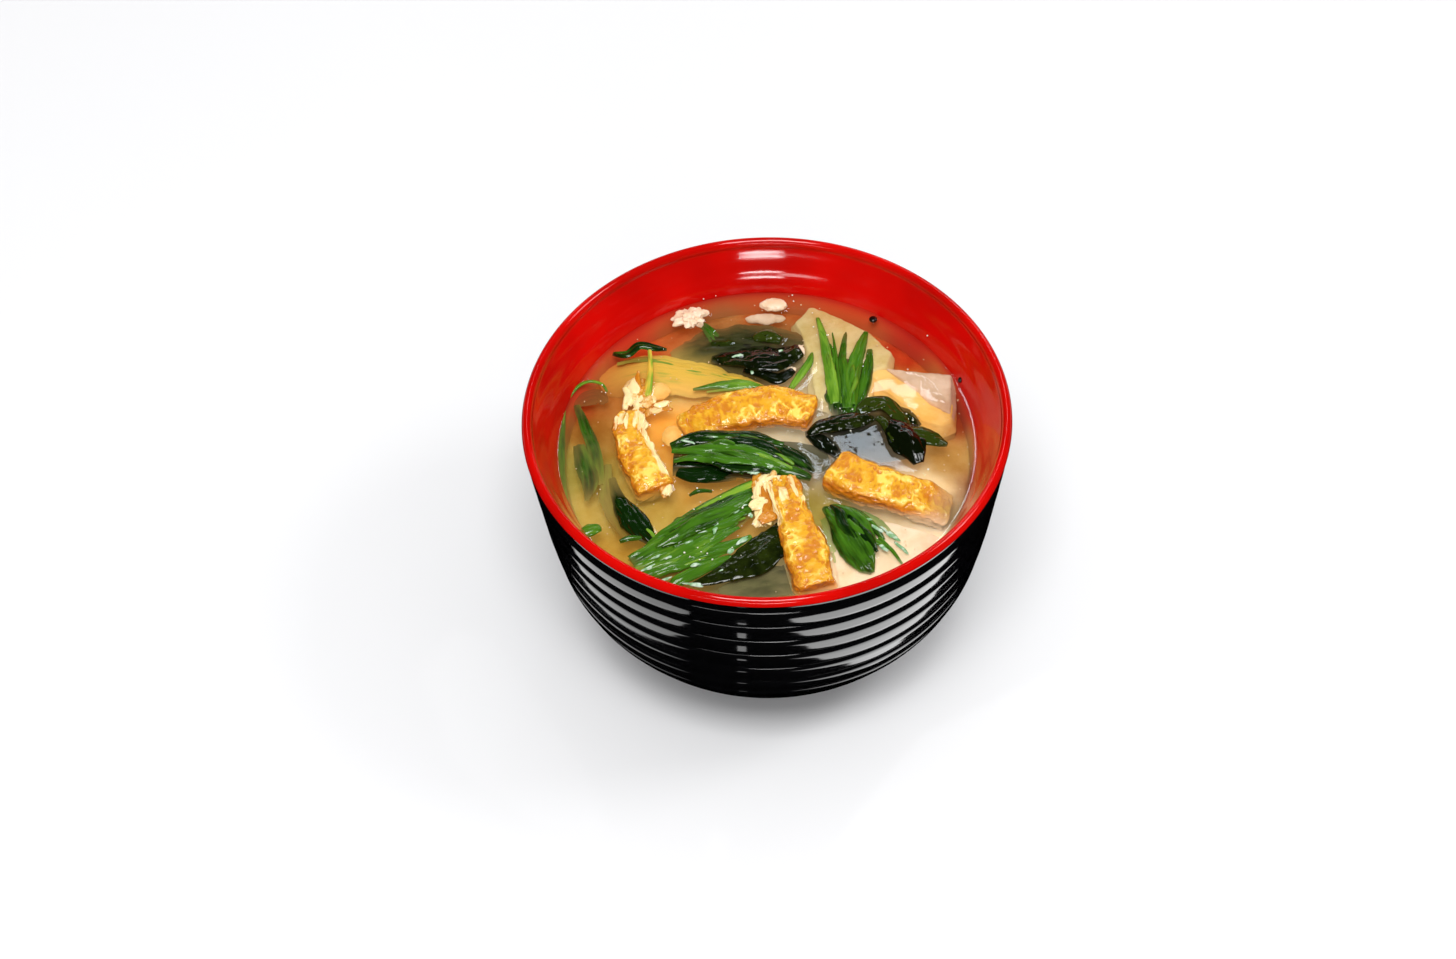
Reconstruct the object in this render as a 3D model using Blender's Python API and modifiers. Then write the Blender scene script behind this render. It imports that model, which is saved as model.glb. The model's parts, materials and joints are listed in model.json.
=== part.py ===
"""Miso soup in a ribbed lacquer bowl.

Metres, +Z up. The origin is the centre of the foot ring's underside, +Y points to the
back of the bowl and +X to its right. The bowl is turned. The broth is turned to the
bowl's inside and cut round the pieces that float in it, each of which is a solid.
"""

import math

import bmesh
import bpy
from mathutils import Vector, noise

MM = 0.001
GAP = 0.35 * MM

# The bowl.
RIM_RADIUS = 60.0 * MM
BOWL_HEIGHT = 72.0 * MM
LIP_WIDTH = 2.6 * MM
LIP_DEPTH = 1.9 * MM
TURN_STEPS = 40
RIB_COUNT = 8
RIB_PITCH = 6.6 * MM
RIB_BULGE = 0.75 * MM
FIRST_GROOVE_DEPTH = 4.9 * MM
FOOT_OUTER_RADIUS = 30.5 * MM
FOOT_INNER_RADIUS = 27.0 * MM
FOOT_HEIGHT = 5.0 * MM
FOOT_RECESS = 3.2 * MM
FOOT_EDGE = 0.5 * MM

# The outside under the ribs, and the inside: depth below the rim and radius there, in mm.
OUTSIDE = ((0, 59.5), (18, 57.2), (34, 54.9), (44, 52.6), (52, 48.6), (59, 43.0), (64, 36.5), (67, 30.5))
INSIDE = ((0, 58.3), (7, 54.9), (13, 52.2), (24, 49.0), (36, 43.6), (46, 35.0), (53, 22.0), (56, 0.0))

# The broth.
SOUP_DEPTH_BELOW_RIM = 13.0 * MM
SOUP_LEVEL = BOWL_HEIGHT - SOUP_DEPTH_BELOW_RIM
BROTH_FLOOR_DEPTH = 56.0 * MM
POCKET_HEIGHT = 6.0 * MM

# The pieces below are given in millimetres, with z counted from the soup's level.

# Strips cut from a fried tofu sheet: the spine from end to end and half the section.
FRIED_TOFU = {
    "fried_tofu_left": {
        "spine": ((-32.4, 15.5, -1.8), (-34.0, 6.0, -0.2), (-32.3, -3.0, 0.0), (-27.6, -13.2, -0.8)),
        "half_width": 4.9,
        "half_height": 3.0,
    },
    "fried_tofu_back": {
        "spine": ((-16.6, 8.6, -2.2), (-8.0, 11.4, -0.6), (2.0, 12.2, 0.2), (12.2, 9.9, 0.2)),
        "half_width": 4.8,
        "half_height": 3.0,
    },
    "fried_tofu_right": {
        "spine": ((16.2, -9.8, 0.2), (26.0, -15.0, 0.1), (36.0, -18.6, -1.2), (43.6, -21.0, -3.8)),
        "half_width": 5.3,
        "half_height": 3.2,
    },
    "fried_tofu_front": {
        "spine": ((1.8, -14.6, 0.6), (4.4, -23.6, 0.5), (7.6, -34.0, 0.1), (10.2, -46.0, -0.8)),
        "half_width": 5.3,
        "half_height": 3.2,
    },
}

# Spinach bundles: half widths are at the start, the middle and the end of the spine, and
# each stalk is a ridge along the bundle.
SPINACH = {
    "spinach_centre": {
        "spine": ((-22.0, -4.0, -0.5), (-12.0, -4.0, 0.1), (-2.0, -4.6, 0.2), (10.2, -7.0, -0.8)),
        "half_widths": (5.6, 6.5, 4.0),
        "half_height": 2.4,
        "stalks": 4,
    },
    "spinach_front_left": {
        "spine": ((-5.8, -18.0, -0.3), (-14.5, -24.8, -0.3), (-22.0, -32.0, -0.7), (-28.4, -38.2, -1.8)),
        "half_widths": (5.0, 6.6, 6.9),
        "half_height": 2.2,
        "stalks": 6,
    },
    "spinach_front_right": {
        "spine": ((14.6, -24.2, -0.8), (18.6, -29.4, -0.4), (22.2, -34.0, -0.3), (25.8, -38.6, -1.1)),
        "half_widths": (3.0, 5.2, 3.6),
        "half_height": 2.1,
        "stalks": 2,
    },
    "spinach_left": {
        "spine": ((-41.2, -8.6, -1.0), (-39.8, -14.0, -0.5), (-37.4, -20.0, -0.4), (-33.8, -26.2, -0.9)),
        "half_widths": (2.4, 3.4, 2.6),
        "half_height": 1.3,
        "stalks": 2,
    },
    "spinach_back_right": {
        "spine": ((21.0, 39.4, 1.2), (20.7, 30.0, 1.4), (20.4, 21.0, 1.2), (20.0, 10.2, -0.4)),
        "half_widths": (5.9, 5.9, 3.0),
        "half_height": 1.3,
        "stalks": 3,
    },
}

# Wakame: the four corners of each crumpled sheet, and the folds across it.
WAKAME = {
    "wakame_back": {
        "corners": ((-17.0, 27.4, -2.4), (6.6, 20.4, -0.1), (8.4, 35.6, -1.9), (-12.4, 40.6, -3.4)),
        "folds": 3.0,
        "fold_height": 1.0,
    },
    "wakame_right": {
        "corners": ((14.6, 0.2, -1.0), (34.6, -8.0, 0.4), (43.0, -1.8, -0.4), (28.6, 12.2, 0.4)),
        "folds": 2.5,
        "fold_height": 1.0,
    },
    "wakame_front": {
        "corners": ((-16.6, -44.8, 0.2), (2.4, -48.2, 0.2), (-0.6, -28.8, 0.5), (-3.0, -30.4, 0.2)),
        "folds": 2.0,
        "fold_height": 0.6,
    },
}
WAKAME_THICKNESS = 1.4 * MM

# Tofu slabs: the outline seen from above, the height of the top and the thickness.
TOFU = {
    "tofu_back_right": {
        "outline": ((12.4, 46.6), (31.6, 28.4), (26.4, 24.4), (9.2, 18.6), (10.2, 38.0)),
        "top": -0.3,
        "thickness": 9.0,
    },
    "tofu_right": {
        "outline": ((32.6, 19.8), (46.8, 17.4), (45.6, 5.2), (40.4, 4.6), (33.6, 14.2)),
        "top": 1.2,
        "thickness": 9.0,
    },
}

# Small white scraps: the centre and half the size along each axis.
SCRAPS = {
    "tofu_crumb_left": {"centre": (-17.6, 44.6, 0.2), "half_sizes": (4.0, 3.4, 2.0)},
    "tofu_shreds_left": {"centre": (-27.0, 21.8, 0.4), "half_sizes": (3.8, 4.6, 2.2)},
    "tofu_crumb_back": {"centre": (3.2, 47.2, 0.1), "half_sizes": (3.3, 2.3, 1.6)},
}

COLOURS = {
    "bowl": (0.012, 0.012, 0.013),
    "broth": (0.50, 0.26, 0.075),
    "fried_tofu": (0.80, 0.43, 0.07),
    "spinach": (0.030, 0.120, 0.012),
    "wakame": (0.012, 0.020, 0.004),
    "tofu": (0.80, 0.60, 0.36),
}
ROUGHNESS = {"bowl": 0.08, "broth": 0.12, "fried_tofu": 0.42, "spinach": 0.22, "wakame": 0.14, "tofu": 0.35}


def clear_scene():
    """Removes every object that the file opened with."""
    for obj in list(bpy.data.objects):
        bpy.data.objects.remove(obj)


def new_collection(name):
    """A collection of this name, linked to the scene."""
    collection = bpy.data.collections.new(name)
    bpy.context.scene.collection.children.link(collection)
    return collection


def new_material(name):
    """A Principled material with the finish that COLOURS and ROUGHNESS give this name."""
    material = bpy.data.materials.new(name)
    material.use_nodes = True
    shader = material.node_tree.nodes["Principled BSDF"]
    shader.inputs["Base Color"].default_value = (*COLOURS[name], 1.0)
    shader.inputs["Roughness"].default_value = ROUGHNESS[name]
    return material


def curve_value(points, depth):
    """The smooth curve through (depth, radius) points, all in metres, by cubic Hermite spans."""
    last = len(points) - 2
    span = next((i for i in range(last + 1) if depth <= points[i + 1][0]), last)
    (x0, y0), (x1, y1) = points[span], points[span + 1]
    before = points[max(span - 1, 0)]
    after = points[min(span + 2, last + 1)]
    width = x1 - x0
    slope0 = (y1 - before[1]) / (x1 - before[0]) * width
    slope1 = (after[1] - y0) / (after[0] - x0) * width
    t = (depth - x0) / width
    return (
        (2 * t**3 - 3 * t**2 + 1) * y0
        + (t**3 - 2 * t**2 + t) * slope0
        + (3 * t**2 - 2 * t**3) * y1
        + (t**3 - t**2) * slope1
    )


def in_metres(points):
    """Outline points given in millimetres, as metres."""
    return [tuple(value * MM for value in point) for point in points]


def inside_radius(depth):
    """Radius of the bowl's inside at a depth below the rim."""
    return max(curve_value(in_metres(INSIDE), depth), 0.0)


def inside_profile(offset, top_depth, steps):
    """Points from the axis up the bowl's inside to top_depth, moved in by offset."""
    floor = BROTH_FLOOR_DEPTH
    points = [(0.0, BOWL_HEIGHT - floor + offset)]
    for i in range(1, steps + 1):
        # A quarter sine puts more points on the round floor than on the straight wall.
        share = 1.0 - math.cos(i / steps * math.pi / 2)
        depth = floor + (top_depth - floor) * share
        points.append((inside_radius(depth) - offset, BOWL_HEIGHT - depth + offset * (1.0 - share)))
    return points


def rib_profile():
    """Points down the ribbed outside: each rib is half a sine wave between two sharp grooves."""
    outside = in_metres(OUTSIDE)
    points_per_rib = 3
    points = []
    for i in range(RIB_COUNT * points_per_rib + 1):
        depth = FIRST_GROOVE_DEPTH + i / points_per_rib * RIB_PITCH
        bulge = RIB_BULGE * abs(math.sin(i / points_per_rib * math.pi))
        points.append((curve_value(outside, depth) + bulge, BOWL_HEIGHT - depth))
    return points


def lip_profile():
    """Points over the rounded lip, from its inner edge to its outer one: half an ellipse."""
    steps = 4
    centre = RIM_RADIUS - LIP_WIDTH / 2
    points = []
    for i in range(steps + 1):
        angle = math.pi * (1.0 - i / steps)
        radius = centre + LIP_WIDTH / 2 * math.cos(angle)
        points.append((radius, BOWL_HEIGHT - LIP_DEPTH * (1.0 - math.sin(angle))))
    return points


def foot_profile():
    """Points down the foot ring, across its flat underside and in along the recess to the axis."""
    return [
        (FOOT_OUTER_RADIUS + FOOT_EDGE, FOOT_HEIGHT),
        (FOOT_OUTER_RADIUS, FOOT_EDGE),
        (FOOT_OUTER_RADIUS - FOOT_EDGE, 0.0),
        (FOOT_INNER_RADIUS + FOOT_EDGE, 0.0),
        (FOOT_INNER_RADIUS, FOOT_EDGE),
        (FOOT_INNER_RADIUS - FOOT_EDGE, FOOT_RECESS),
        (0.0, FOOT_RECESS),
    ]


def turned(name, profile, steps):
    """An object whose profile of (radius, z) points is carried once round Z by a Screw."""
    mesh = bpy.data.meshes.new(name)
    points = [(radius, 0.0, z) for radius, z in profile]
    mesh.from_pydata(points, [(i, i + 1) for i in range(len(points) - 1)], [])
    obj = bpy.data.objects.new(name, mesh)
    screw = obj.modifiers.new("Turn", "SCREW")
    screw.steps = screw.render_steps = steps
    screw.use_merge_vertices = True
    screw.merge_threshold = 0.00005
    screw.use_smooth_shade = True
    return obj


def make_bowl():
    """The bowl: inside, lip, ribs and foot ring as one turned solid."""
    lip = lip_profile()
    inside = inside_profile(0.0, LIP_DEPTH * 2.0, 7)
    return turned("bowl", inside + lip + rib_profile() + foot_profile(), TURN_STEPS)


def make_broth():
    """The broth: a turned solid that fills the bowl's inside up to the soup's level."""
    side = inside_profile(GAP, SOUP_DEPTH_BELOW_RIM, 6)
    # The profile runs from the middle of the surface out to the wall and down to the floor.
    profile = [(0.0, SOUP_LEVEL)] + side[::-1]
    return turned("broth", profile, TURN_STEPS)


def at_soup_level(point):
    """A point given in millimetres with z above the soup's level, as a vector in metres."""
    return Vector((point[0] * MM, point[1] * MM, point[2] * MM + SOUP_LEVEL))


def spine_point(spine, t):
    """The point at t, 0 to 1, of the Catmull-Rom curve through the spine's points."""
    last = len(spine) - 1
    place = min(t * last, last - 1e-9)
    i = int(place)
    f = place - i
    p0, p1, p2, p3 = (spine[min(max(i + k, 0), last)] for k in (-1, 0, 1, 2))
    linear = (p2 - p0) * f
    square = (2 * p0 - 5 * p1 + 4 * p2 - p3) * f**2
    cube = (3 * p1 - p0 - 3 * p2 + p3) * f**3
    return (2 * p1 + linear + square + cube) / 2


def lofted(name, spine, section, stations, sides):
    """A closed loft of rings along a spine.

    section(t, angle) gives the ring's (across, up) offset at t, 0 to 1, along the spine.
    Each ring stands square to the spine seen from above. The ends are closed.
    """
    mesh = bmesh.new()
    points = [at_soup_level(point) for point in spine]
    rings = []
    for i in range(stations):
        t = i / (stations - 1)
        centre = spine_point(points, t)
        ahead = spine_point(points, min(t + 0.02, 1.0)) - spine_point(points, max(t - 0.02, 0.0))
        across = Vector((ahead.y, -ahead.x, 0.0)).normalized()
        ring = []
        for k in range(sides):
            side, up = section(t, 2 * math.pi * k / sides)
            ring.append(mesh.verts.new(centre + across * side + Vector((0, 0, up))))
        rings.append(ring)
    for ring, following in zip(rings, rings[1:]):
        for k in range(sides):
            after = (k + 1) % sides
            mesh.faces.new((ring[k], ring[after], following[after], following[k]))
    mesh.faces.new(rings[0][::-1])
    mesh.faces.new(rings[-1])
    bmesh.ops.recalc_face_normals(mesh, faces=mesh.faces)
    return object_of(name, mesh)


def object_of(name, mesh):
    """An object that holds this bmesh, shaded smooth, with its sharp edges kept."""
    data = bpy.data.meshes.new(name)
    mesh.to_mesh(data)
    mesh.free()
    data.shade_smooth()
    data.set_sharp_from_angle(angle=math.radians(50))
    return bpy.data.objects.new(name, data)


def end_rounding(t, sharpness):
    """How much of the full section is left at t: 1 along the middle, less at the two ends."""
    return (1.0 - abs(2.0 * t - 1.0) ** sharpness) ** 0.5 * 0.55 + 0.45


def superellipse(angle, exponent):
    """A unit ring point: a circle for exponent 2, nearly a square for a high one."""
    across, up = math.cos(angle), math.sin(angle)
    power = 2.0 / exponent
    return math.copysign(abs(across) ** power, across), math.copysign(abs(up) ** power, up)


def make_fried_tofu(name, grow=0.0):
    """A strip cut from a fried sheet: a squarish section, swollen unevenly, with blunt ends."""
    sizes = FRIED_TOFU[name]
    half_width = sizes["half_width"]
    half_height = sizes["half_height"]

    def section(t, angle):
        across, up = superellipse(angle, 3.6)
        bump = 1.0 + 0.10 * noise.noise(Vector((t * 6.0, across * 1.5, up * 1.5 + half_width * len(name))))
        rounding = end_rounding(t, 14.0)
        return (
            across * (half_width * MM * bump * rounding + grow),
            up * (half_height * MM * bump * rounding + grow),
        )

    return lofted(name, longer(sizes["spine"], grow), section, 10, 10)


def longer(spine, grow):
    """The spine with both ends moved out by grow."""
    if not grow:
        return spine
    ends = []
    for end, inner in ((spine[0], spine[1]), (spine[-1], spine[-2])):
        outward = (Vector(end) - Vector(inner)).normalized() * (grow / MM)
        ends.append(tuple(Vector(end) + outward))
    return (ends[0], *spine[1:-1], ends[1])


def make_spinach(name, grow=0.0):
    """A flattened bundle of leaves and stalks, ridged lengthwise, one ridge to a stalk."""
    sizes = SPINACH[name]
    start, middle, end = sizes["half_widths"]
    half_height = sizes["half_height"]
    stalks = sizes["stalks"]

    def section(t, angle):
        across, up = superellipse(angle, 2.4)
        half_width = curve_value(((0.0, start), (0.5, middle), (1.0, end)), t)
        ridge = 1.0 + 0.13 * math.cos(across * math.pi * stalks + t * 2.0)
        twist = 0.16 * half_height * math.sin(t * 7.0 + stalks)
        rounding = end_rounding(t, 8.0)
        return (
            across * (half_width * MM * rounding + grow),
            up * (half_height * MM * ridge * rounding + grow) + across * twist * MM,
        )

    return lofted(name, longer(sizes["spine"], grow), section, 10, 12)


def patch_point(corners, u, v):
    """The point at (u, v), each 0 to 1, of the flat patch between four corners."""
    near = corners[0].lerp(corners[1], u)
    far = corners[3].lerp(corners[2], u)
    return near.lerp(far, v)


def make_wakame(name, grow=0.0):
    """A crumpled sheet of seaweed: a patch folded by sine waves, with a lobed edge.

    With grow, it is the pocket that the sheet needs in the broth: the same patch,
    larger by grow all round, closed above well over the broth.
    """
    sizes = WAKAME[name]
    corners = [at_soup_level(corner) for corner in sizes["corners"]]
    centre = sum(corners, Vector()) / 4
    across, along = 8, 6
    mesh = bmesh.new()
    layers = []
    for layer in (-1, 1):
        rows = []
        for j in range(along + 1):
            row = []
            for i in range(across + 1):
                u, v = i / across, j / along
                point = patch_point(corners, u, v)
                border = 4 * min(u, 1 - u, v, 1 - v)
                lobe = 0.9 * MM * noise.noise(point * 160.0) * (1.0 - min(border, 1.0))
                outward = (point - centre).normalized()
                point = point + outward * (lobe + grow)
                fold = math.sin(sizes["folds"] * math.pi * (u + 0.35 * v)) * math.cos(1.7 * v + 0.4)
                point.z += sizes["fold_height"] * MM * fold + 0.4 * MM * noise.noise(point * 90.0)
                point.z += layer * (WAKAME_THICKNESS / 2 + grow)
                if grow and layer > 0:
                    point.z = SOUP_LEVEL + POCKET_HEIGHT
                row.append(mesh.verts.new(point))
            rows.append(row)
        layers.append(rows)
    under, over = layers
    for j in range(along):
        for i in range(across):
            mesh.faces.new((under[j][i], under[j + 1][i], under[j + 1][i + 1], under[j][i + 1]))
            mesh.faces.new((over[j][i], over[j][i + 1], over[j + 1][i + 1], over[j + 1][i]))
    edge = [(0, i) for i in range(across)]
    edge += [(j, across) for j in range(along)]
    edge += [(along, i) for i in range(across, 0, -1)]
    edge += [(j, 0) for j in range(along, 0, -1)]
    for (j, i), (jj, ii) in zip(edge, edge[1:] + edge[:1]):
        mesh.faces.new((under[j][i], under[jj][ii], over[jj][ii], over[j][i]))
    bmesh.ops.recalc_face_normals(mesh, faces=mesh.faces)
    return object_of(name, mesh)


def make_tofu(name, grow=0.0):
    """A slab of soft tofu: a flat outline drawn up to its thickness, with its edges rounded."""
    sizes = TOFU[name]
    outline = sizes["outline"]
    thickness = sizes["thickness"]
    centre = sum((Vector(point) for point in outline), Vector((0, 0))) / len(outline)
    mesh = bmesh.new()
    floor = SOUP_LEVEL + (sizes["top"] - thickness) * MM - grow
    ring = []
    for point in outline:
        flat = Vector(point)
        flat = (flat + (flat - centre).normalized() * (grow / MM) * 1.6) * MM
        ring.append(mesh.verts.new((flat.x, flat.y, floor)))
    face = mesh.faces.new(ring)
    if face.normal.z > 0:
        face.normal_flip()
    height = SOUP_LEVEL + POCKET_HEIGHT - floor if grow else thickness * MM
    drawn = bmesh.ops.extrude_face_region(mesh, geom=[face], use_keep_orig=True)
    lifted = [item for item in drawn["geom"] if isinstance(item, bmesh.types.BMVert)]
    bmesh.ops.translate(mesh, verts=lifted, vec=(0, 0, height))
    bmesh.ops.recalc_face_normals(mesh, faces=mesh.faces)
    obj = object_of(name, mesh)
    if not grow:
        bevel = obj.modifiers.new("Worn edges", "BEVEL")
        bevel.width = 1.3 * MM
        bevel.segments = 3
        bevel.limit_method = "ANGLE"
    return obj


def make_scrap(name, grow=0.0):
    """A torn scrap of tofu: a ball pushed in and out by smooth noise."""
    centre = SCRAPS[name]["centre"]
    half_sizes = SCRAPS[name]["half_sizes"]
    mesh = bmesh.new()
    bmesh.ops.create_icosphere(mesh, subdivisions=2, radius=1.0)
    for vert in mesh.verts:
        size = 1.0 + 0.22 * noise.noise(vert.co * 1.7 + Vector(centre))
        vert.co = Vector(
            tuple(vert.co[k] * (half_sizes[k] * MM * size + grow) for k in range(3))
        ) + at_soup_level(centre)
    return object_of(name, mesh)


def cut(obj, cutter):
    """Cuts one object out of another."""
    boolean = obj.modifiers.new(cutter.name, "BOOLEAN")
    boolean.operation = "DIFFERENCE"
    boolean.solver = "EXACT"
    boolean.object = cutter


def main():
    """Builds the bowl, the broth and what floats in it, and cuts the broth round each piece."""
    clear_scene()
    parts = new_collection("miso soup")
    cutters = new_collection("cutters")
    cutters.hide_render = True

    def add(obj, material):
        obj.data.materials.append(material)
        parts.objects.link(obj)

    add(make_bowl(), new_material("bowl"))
    broth = make_broth()
    add(broth, new_material("broth"))

    floating = (
        (FRIED_TOFU, make_fried_tofu, "fried_tofu"),
        (SPINACH, make_spinach, "spinach"),
        (WAKAME, make_wakame, "wakame"),
        (TOFU, make_tofu, "tofu"),
        (SCRAPS, make_scrap, None),
    )
    materials = {}
    for pieces, make, finish in floating:
        finish = finish or "tofu"
        if finish not in materials:
            materials[finish] = new_material(finish)
        for name in pieces:
            add(make(name), materials[finish])
            pocket = make(name, GAP)
            pocket.name = name + "_pocket"
            pocket.hide_render = True
            pocket.display_type = "WIRE"
            cutters.objects.link(pocket)
            cut(broth, pocket)


main()
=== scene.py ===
"""Looks of a bowl of miso soup: lacquer, cloudy broth, fried tofu, spinach, wakame and tofu.

Metres, +Z up, the bowl's foot at z = 0. Everything in the soup is placed in millimetres
from the bowl's axis, with its height counted from the level of the soup.
"""

import itertools
import json
import logging
import math
from collections.abc import Mapping, Sequence
from dataclasses import dataclass, field
from enum import Enum
from typing import Any

import bpy
import numpy as np
import numpy.typing as npt
from mathutils import Matrix, Vector

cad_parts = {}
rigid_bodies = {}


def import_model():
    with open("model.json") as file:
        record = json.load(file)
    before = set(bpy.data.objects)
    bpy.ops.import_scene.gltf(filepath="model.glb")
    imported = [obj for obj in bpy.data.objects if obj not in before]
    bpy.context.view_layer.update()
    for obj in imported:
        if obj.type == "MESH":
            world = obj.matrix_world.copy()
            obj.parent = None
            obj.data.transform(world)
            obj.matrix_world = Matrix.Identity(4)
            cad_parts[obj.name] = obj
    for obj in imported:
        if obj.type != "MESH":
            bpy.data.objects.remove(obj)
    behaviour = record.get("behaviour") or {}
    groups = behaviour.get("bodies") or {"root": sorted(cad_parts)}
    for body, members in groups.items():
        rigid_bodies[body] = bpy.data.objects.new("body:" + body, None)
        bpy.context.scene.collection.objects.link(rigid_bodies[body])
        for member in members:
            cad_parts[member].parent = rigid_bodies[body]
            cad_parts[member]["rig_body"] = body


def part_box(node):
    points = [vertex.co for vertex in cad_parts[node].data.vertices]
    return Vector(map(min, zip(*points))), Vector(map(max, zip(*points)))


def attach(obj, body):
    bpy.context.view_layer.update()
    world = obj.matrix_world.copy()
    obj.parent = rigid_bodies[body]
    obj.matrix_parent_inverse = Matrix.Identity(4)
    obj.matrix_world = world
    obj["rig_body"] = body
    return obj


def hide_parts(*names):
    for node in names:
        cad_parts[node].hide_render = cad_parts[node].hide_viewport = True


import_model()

Array = npt.NDArray[np.float64]
Colour = tuple[float, float, float]

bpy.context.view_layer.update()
MM = 0.001
SOUP_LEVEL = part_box("broth")[1].z
RIM_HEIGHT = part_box("bowl")[1].z
RIM_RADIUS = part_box("bowl")[1].x
SOUP_RADIUS = 52.05 * MM
BODY = "root"

log = logging.getLogger("miso_soup")


# ---------------------------------------------------------------- shader expressions


def linear(red: int, green: int, blue: int) -> Colour:
    """A screen colour of three 0 to 255 values as scene-linear light.

    Args:
        red, green, blue: the screen values.

    Returns:
        The three linear values, 0 to 1.
    """
    parts = (value / 255.0 for value in (red, green, blue))
    return tuple(v / 12.92 if v <= 0.04045 else ((v + 0.055) / 1.055) ** 2.4 for v in parts)


class Value:
    """A number in a shader: a socket whose Python operators add Math nodes."""

    def __init__(self, shader: "Shader", socket: Any) -> None:
        """Keeps the tree that the socket belongs to."""
        self.shader = shader
        self.socket = socket

    def math(self, operation: str, *others: "Value | float") -> "Value":
        """A Math node on this value and the others, in that order."""
        terms = {index: term for index, term in enumerate((self, *others))}
        return Value(self.shader, self.shader.node("Math", {"operation": operation}, terms).outputs[0])

    def reflected(self, operation: str, other: float) -> "Value":
        """A Math node with a plain number first and this value second."""
        node = self.shader.node("Math", {"operation": operation}, {0: other, 1: self})
        return Value(self.shader, node.outputs[0])

    def __add__(self, other: "Value | float") -> "Value":
        """This value plus another."""
        return self.math("ADD", other)

    __radd__ = __add__

    def __sub__(self, other: "Value | float") -> "Value":
        """This value less another."""
        return self.math("SUBTRACT", other)

    def __rsub__(self, other: float) -> "Value":
        """A number less this value."""
        return self.reflected("SUBTRACT", other)

    def __mul__(self, other: "Value | float") -> "Value":
        """This value times another."""
        return self.math("MULTIPLY", other)

    __rmul__ = __mul__

    def exp(self) -> "Value":
        """e to the power of this value."""
        return self.math("EXPONENT")

    def above(self, floor: float) -> "Value":
        """This value, and never less than the floor."""
        return self.math("MAXIMUM", floor)

    def step(self, low: float, high: float) -> "Value":
        """0 below low, 1 above high, and a smooth step between them."""
        settings = {"interpolation_type": "SMOOTHSTEP"}
        node = self.shader.node("MapRange", settings, {"Value": self, "From Min": low, "From Max": high})
        return Value(self.shader, node.outputs[0])


class Shader:
    """A material whose node tree is written as expressions."""

    def __init__(self, name: str) -> None:
        """Starts a material of this name with only its output node."""
        self.material = bpy.data.materials.new(name)
        self.material.use_nodes = True
        self.tree = self.material.node_tree
        self.tree.nodes.clear()
        self.output = self.tree.nodes.new("ShaderNodeOutputMaterial")
        self.place = self.node("TexCoord").outputs["Object"]

    def node(self, kind: str, settings: Mapping[str, Any] | None = None,
             inputs: Mapping | None = None) -> Any:
        """Adds a node.

        Args:
            kind: the node's type without its ShaderNode prefix.
            settings: its properties, set before its inputs.
            inputs: values or links of its sockets, by name or number.

        Returns:
            The node.
        """
        node = self.tree.nodes.new("ShaderNode" + kind)
        for key, setting in (settings or {}).items():
            setattr(node, key, setting)
        for key, given in (inputs or {}).items():
            given = given.socket if isinstance(given, Value) else given
            if isinstance(given, bpy.types.NodeSocket):
                self.tree.links.new(given, node.inputs[key])
            elif isinstance(given, tuple) and node.inputs[key].type == "RGBA":
                node.inputs[key].default_value = (*given[:3], 1.0)
            else:
                node.inputs[key].default_value = given
        return node

    def fact(self, name: str) -> Value:
        """The piece's own per-point value of this name."""
        node = self.node("Attribute", {"attribute_name": name})
        return Value(self, node.outputs["Fac"])

    def height(self) -> Value:
        """Height above the soup's level, in millimetres."""
        parts = self.node("SeparateXYZ", None, {0: self.place})
        return (Value(self, parts.outputs["Z"]) - SOUP_LEVEL) * (1.0 / MM)

    def blend(self, share: Value | float, first: Any, second: Any) -> Any:
        """A colour between two colours: the first where share is 0, the second where it is 1."""
        return self.node("Mix", {"data_type": "RGBA"}, {0: share, 6: first, 7: second}).outputs[2]

    def tint(self) -> Any:
        """The broth's colour over or under each point, with the shade and reflection painted into its tints.
        """
        return self.node("Attribute", {"attribute_name": "broth"}).outputs["Color"]

    def stretched(self, vector: Any, factors: Colour) -> Any:
        """A vector with each part multiplied by its own factor."""
        return self.vector("MULTIPLY", {0: vector, 1: factors})

    def vector(self, operation: str, inputs: Mapping) -> Any:
        """The vector that a Vector Math node gives for these inputs."""
        return self.node("VectorMath", {"operation": operation}, inputs).outputs[0]

    def noise(self, size: float, detail: float = 2.0, roughness: float = 0.5, vector: Any = None) -> Value:
        """Smooth noise, about 0.5 on average, whose blots are of this size in metres."""
        inputs = {
            "Vector": vector or self.place,
            "Scale": 1.0 / size,
            "Detail": detail,
            "Roughness": roughness,
        }
        return Value(self, self.node("TexNoise", None, inputs).outputs[0])

    def combined(self, x: Value | float, y: Value | float, z: Value | float = 0.0) -> Any:
        """A vector of three values."""
        return self.node("CombineXYZ", None, {0: x, 1: y, 2: z}).outputs[0]

    def bump(self, height: Value, depth: float, strength: float = 1.0) -> Any:
        """A normal bent by a height of 0 to 1 that stands for this depth in metres."""
        inputs = {"Height": height, "Distance": depth, "Strength": strength}
        return self.node("Bump", None, inputs).outputs[0]

    def principled(self, inputs: Mapping[str, Any]) -> Any:
        """A Principled shader's output with these inputs."""
        return self.node("BsdfPrincipled", None, inputs).outputs[0]

    def finish(self, surface: Any) -> bpy.types.Material:
        """Joins a shader to the material's output and gives the material."""
        self.tree.links.new(surface, self.output.inputs["Surface"])
        return self.material


# ---------------------------------------------------------------- noise and curves in numpy


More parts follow.
